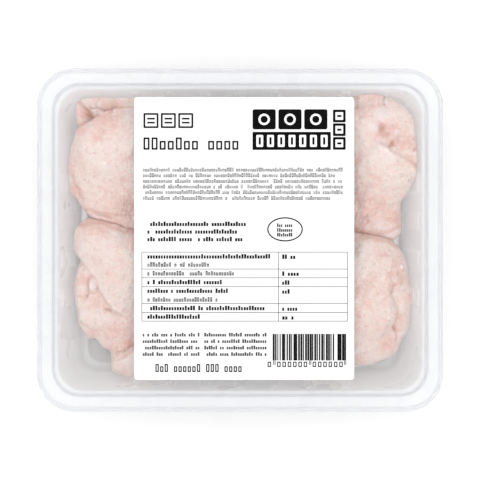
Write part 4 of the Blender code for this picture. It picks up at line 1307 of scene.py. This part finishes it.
def buildWing(name, form, distance, touching, tree):
    heart = np.array(form["heart"], float)
    shape = bmesh.new()
    bmesh.ops.create_cube(shape, size=2)
    bmesh.ops.subdivide_edges(shape, edges=shape.edges[:], cuts=wingSizes["edges"] - 1, use_grid_fill=True)
    mesh = bpy.data.meshes.new(name + "_flesh")
    shape.to_mesh(mesh)
    shape.free()
    cube = np.empty(len(mesh.vertices) * 3, np.float32)
    mesh.vertices.foreach_get("co", cube)
    # Each point looks outwards from its own place on a flat core inside the flesh
    cube = cube.reshape(-1, 3).astype(float)
    starts = heart + cube * np.array((*form["core"], 0))
    rays = np.sign(cube) * np.abs(cube) ** wingSizes["fan"]
    rays /= np.linalg.norm(rays, axis=1)[:, None]
    places = starts + rays * surfaceReach(starts, rays, distance)[:, None]
    mesh.vertices.foreach_set("co", (places * mm).astype(np.float32).ravel())
    mesh.update()
    smoothFaces(mesh)
    # Pink places, a few of them painted label shadow; whiter fat; dark red places, partly the flesh's
    # colour and partly painted shade
    storeShare(mesh, "pinkAndShadow", spotShare(places, form["pinkAndShadow"]))
    storeShare(mesh, "fat", spotShare(places, form["fat"]))
    storeShare(mesh, "raw", spotShare(places, form["raw"]))
    # Painted shade in creases, darker where the skin dips further
    storeShare(mesh, "creaseShade", -skinLift(places, form) / wingSizes["creaseShadeDepth"])
    pressed = 1 - touching(places) / wingSizes["contact"]
    # Painted shade where lobes meet and where two wings press together
    storeShare(mesh, "seamShade", np.maximum(lobeSeams(places, form), pressed))
    # No pores or grain low down, or where two wings are pressed together
    low, high = wingSizes["poreFoot"]
    storeShare(mesh, "bare", np.maximum((high - places[:, 2]) / (high - low), pressed))
    piece = placePiece(name + "_flesh", mesh)
    runTree(piece, tree, {"Spacing": wingSizes["poreSpacing"] * mm, "Height": wingSizes["poreHeight"] * mm,
                         "Grain": wingSizes["grain"] * mm})
    smoothFaces(piece.data)
    keepPiece(piece, "chicken_skin", name)
    print(name, "shaped,", len(piece.data.vertices), "points")


def buildWings():
    waves = fleshWaves()
    tree = poreTree(skinFinish())
    placed = []
    for form in wingForms.values():
        form["field"] = edgeField(form["edge"])
    for name, form in wingForms.items():
        neighbours = list(placed)

        def distance(points, form=form, neighbours=neighbours):
            total = formDistance(points, form, waves) - skinLift(points, form)
            total = np.maximum(total, trayDistance(points))
            # It keeps a gap to the skin, folds and all, of the wings that were shaped before it
            for other in neighbours:
                away = formDistance(points, other, waves)
                close = away < wingSizes["contact"]
                if close.any():
                    away[close] -= skinLift(points[close], other)
                total = np.maximum(total, wingSizes["gap"] - away)
            return total

        def touching(points, form=form):
            others = [other for other in wingForms.values() if other is not form]
            return np.min([formDistance(points, other, waves) for other in others], axis=0)

        buildWing(name, form, distance, touching, tree)
        placed.append(form)


# The studio

studio = {"cameraHeight": 690, "flangeHeight": 40, "imageWidth": 480, "perPixel": 0.526,
          "sensor": 36, "floorSize": 4.0, "skyStrength": 0.85,
          "softboxSize": 1.2, "softboxHeight": 1.2, "softboxPower": 5.7, "softboxPlace": (-0.02, 0.05)}


def buildStudio():
    bpy.ops.mesh.primitive_plane_add(size=studio["floorSize"], location=(0, 0, 0))
    floor = bpy.context.object
    floor.name = "studio_floor"
    floor.data.materials.append(floorFinish())
    sky = bpy.data.worlds.new("studio_sky")
    sky.use_nodes = True
    light = sky.node_tree.nodes["Background"]
    light.inputs["Color"].default_value = (1, 1, 1, 1)
    light.inputs["Strength"].default_value = studio["skyStrength"]
    bpy.context.scene.world = sky
    softbox = bpy.data.lights.new("softbox", "AREA")
    softbox.shape = "DISK"
    softbox.size = studio["softboxSize"]
    softbox.energy = studio["softboxPower"]
    lamp = placePiece("softbox", softbox)
    place = Vector((*studio["softboxPlace"], studio["softboxHeight"]))
    lamp.location = place
    lamp.rotation_euler = (-place).to_track_quat("-Z", "Y").to_euler()
    lens = bpy.data.cameras.new("overhead_camera")
    lens.sensor_width = studio["sensor"]
    # The picture's width about the flange's height gives the focal length
    seen = studio["imageWidth"] * studio["perPixel"]
    lens.lens = studio["sensor"] * (studio["cameraHeight"] - studio["flangeHeight"]) / seen
    camera = placePiece("overhead_camera", lens)
    camera.location = (0, 0, studio["cameraHeight"] * mm)
    bpy.context.scene.camera = camera
    print("studio set")


buildStudio()
buildTray()
buildLabel()
buildPrint()
buildWings()
buildFilm()
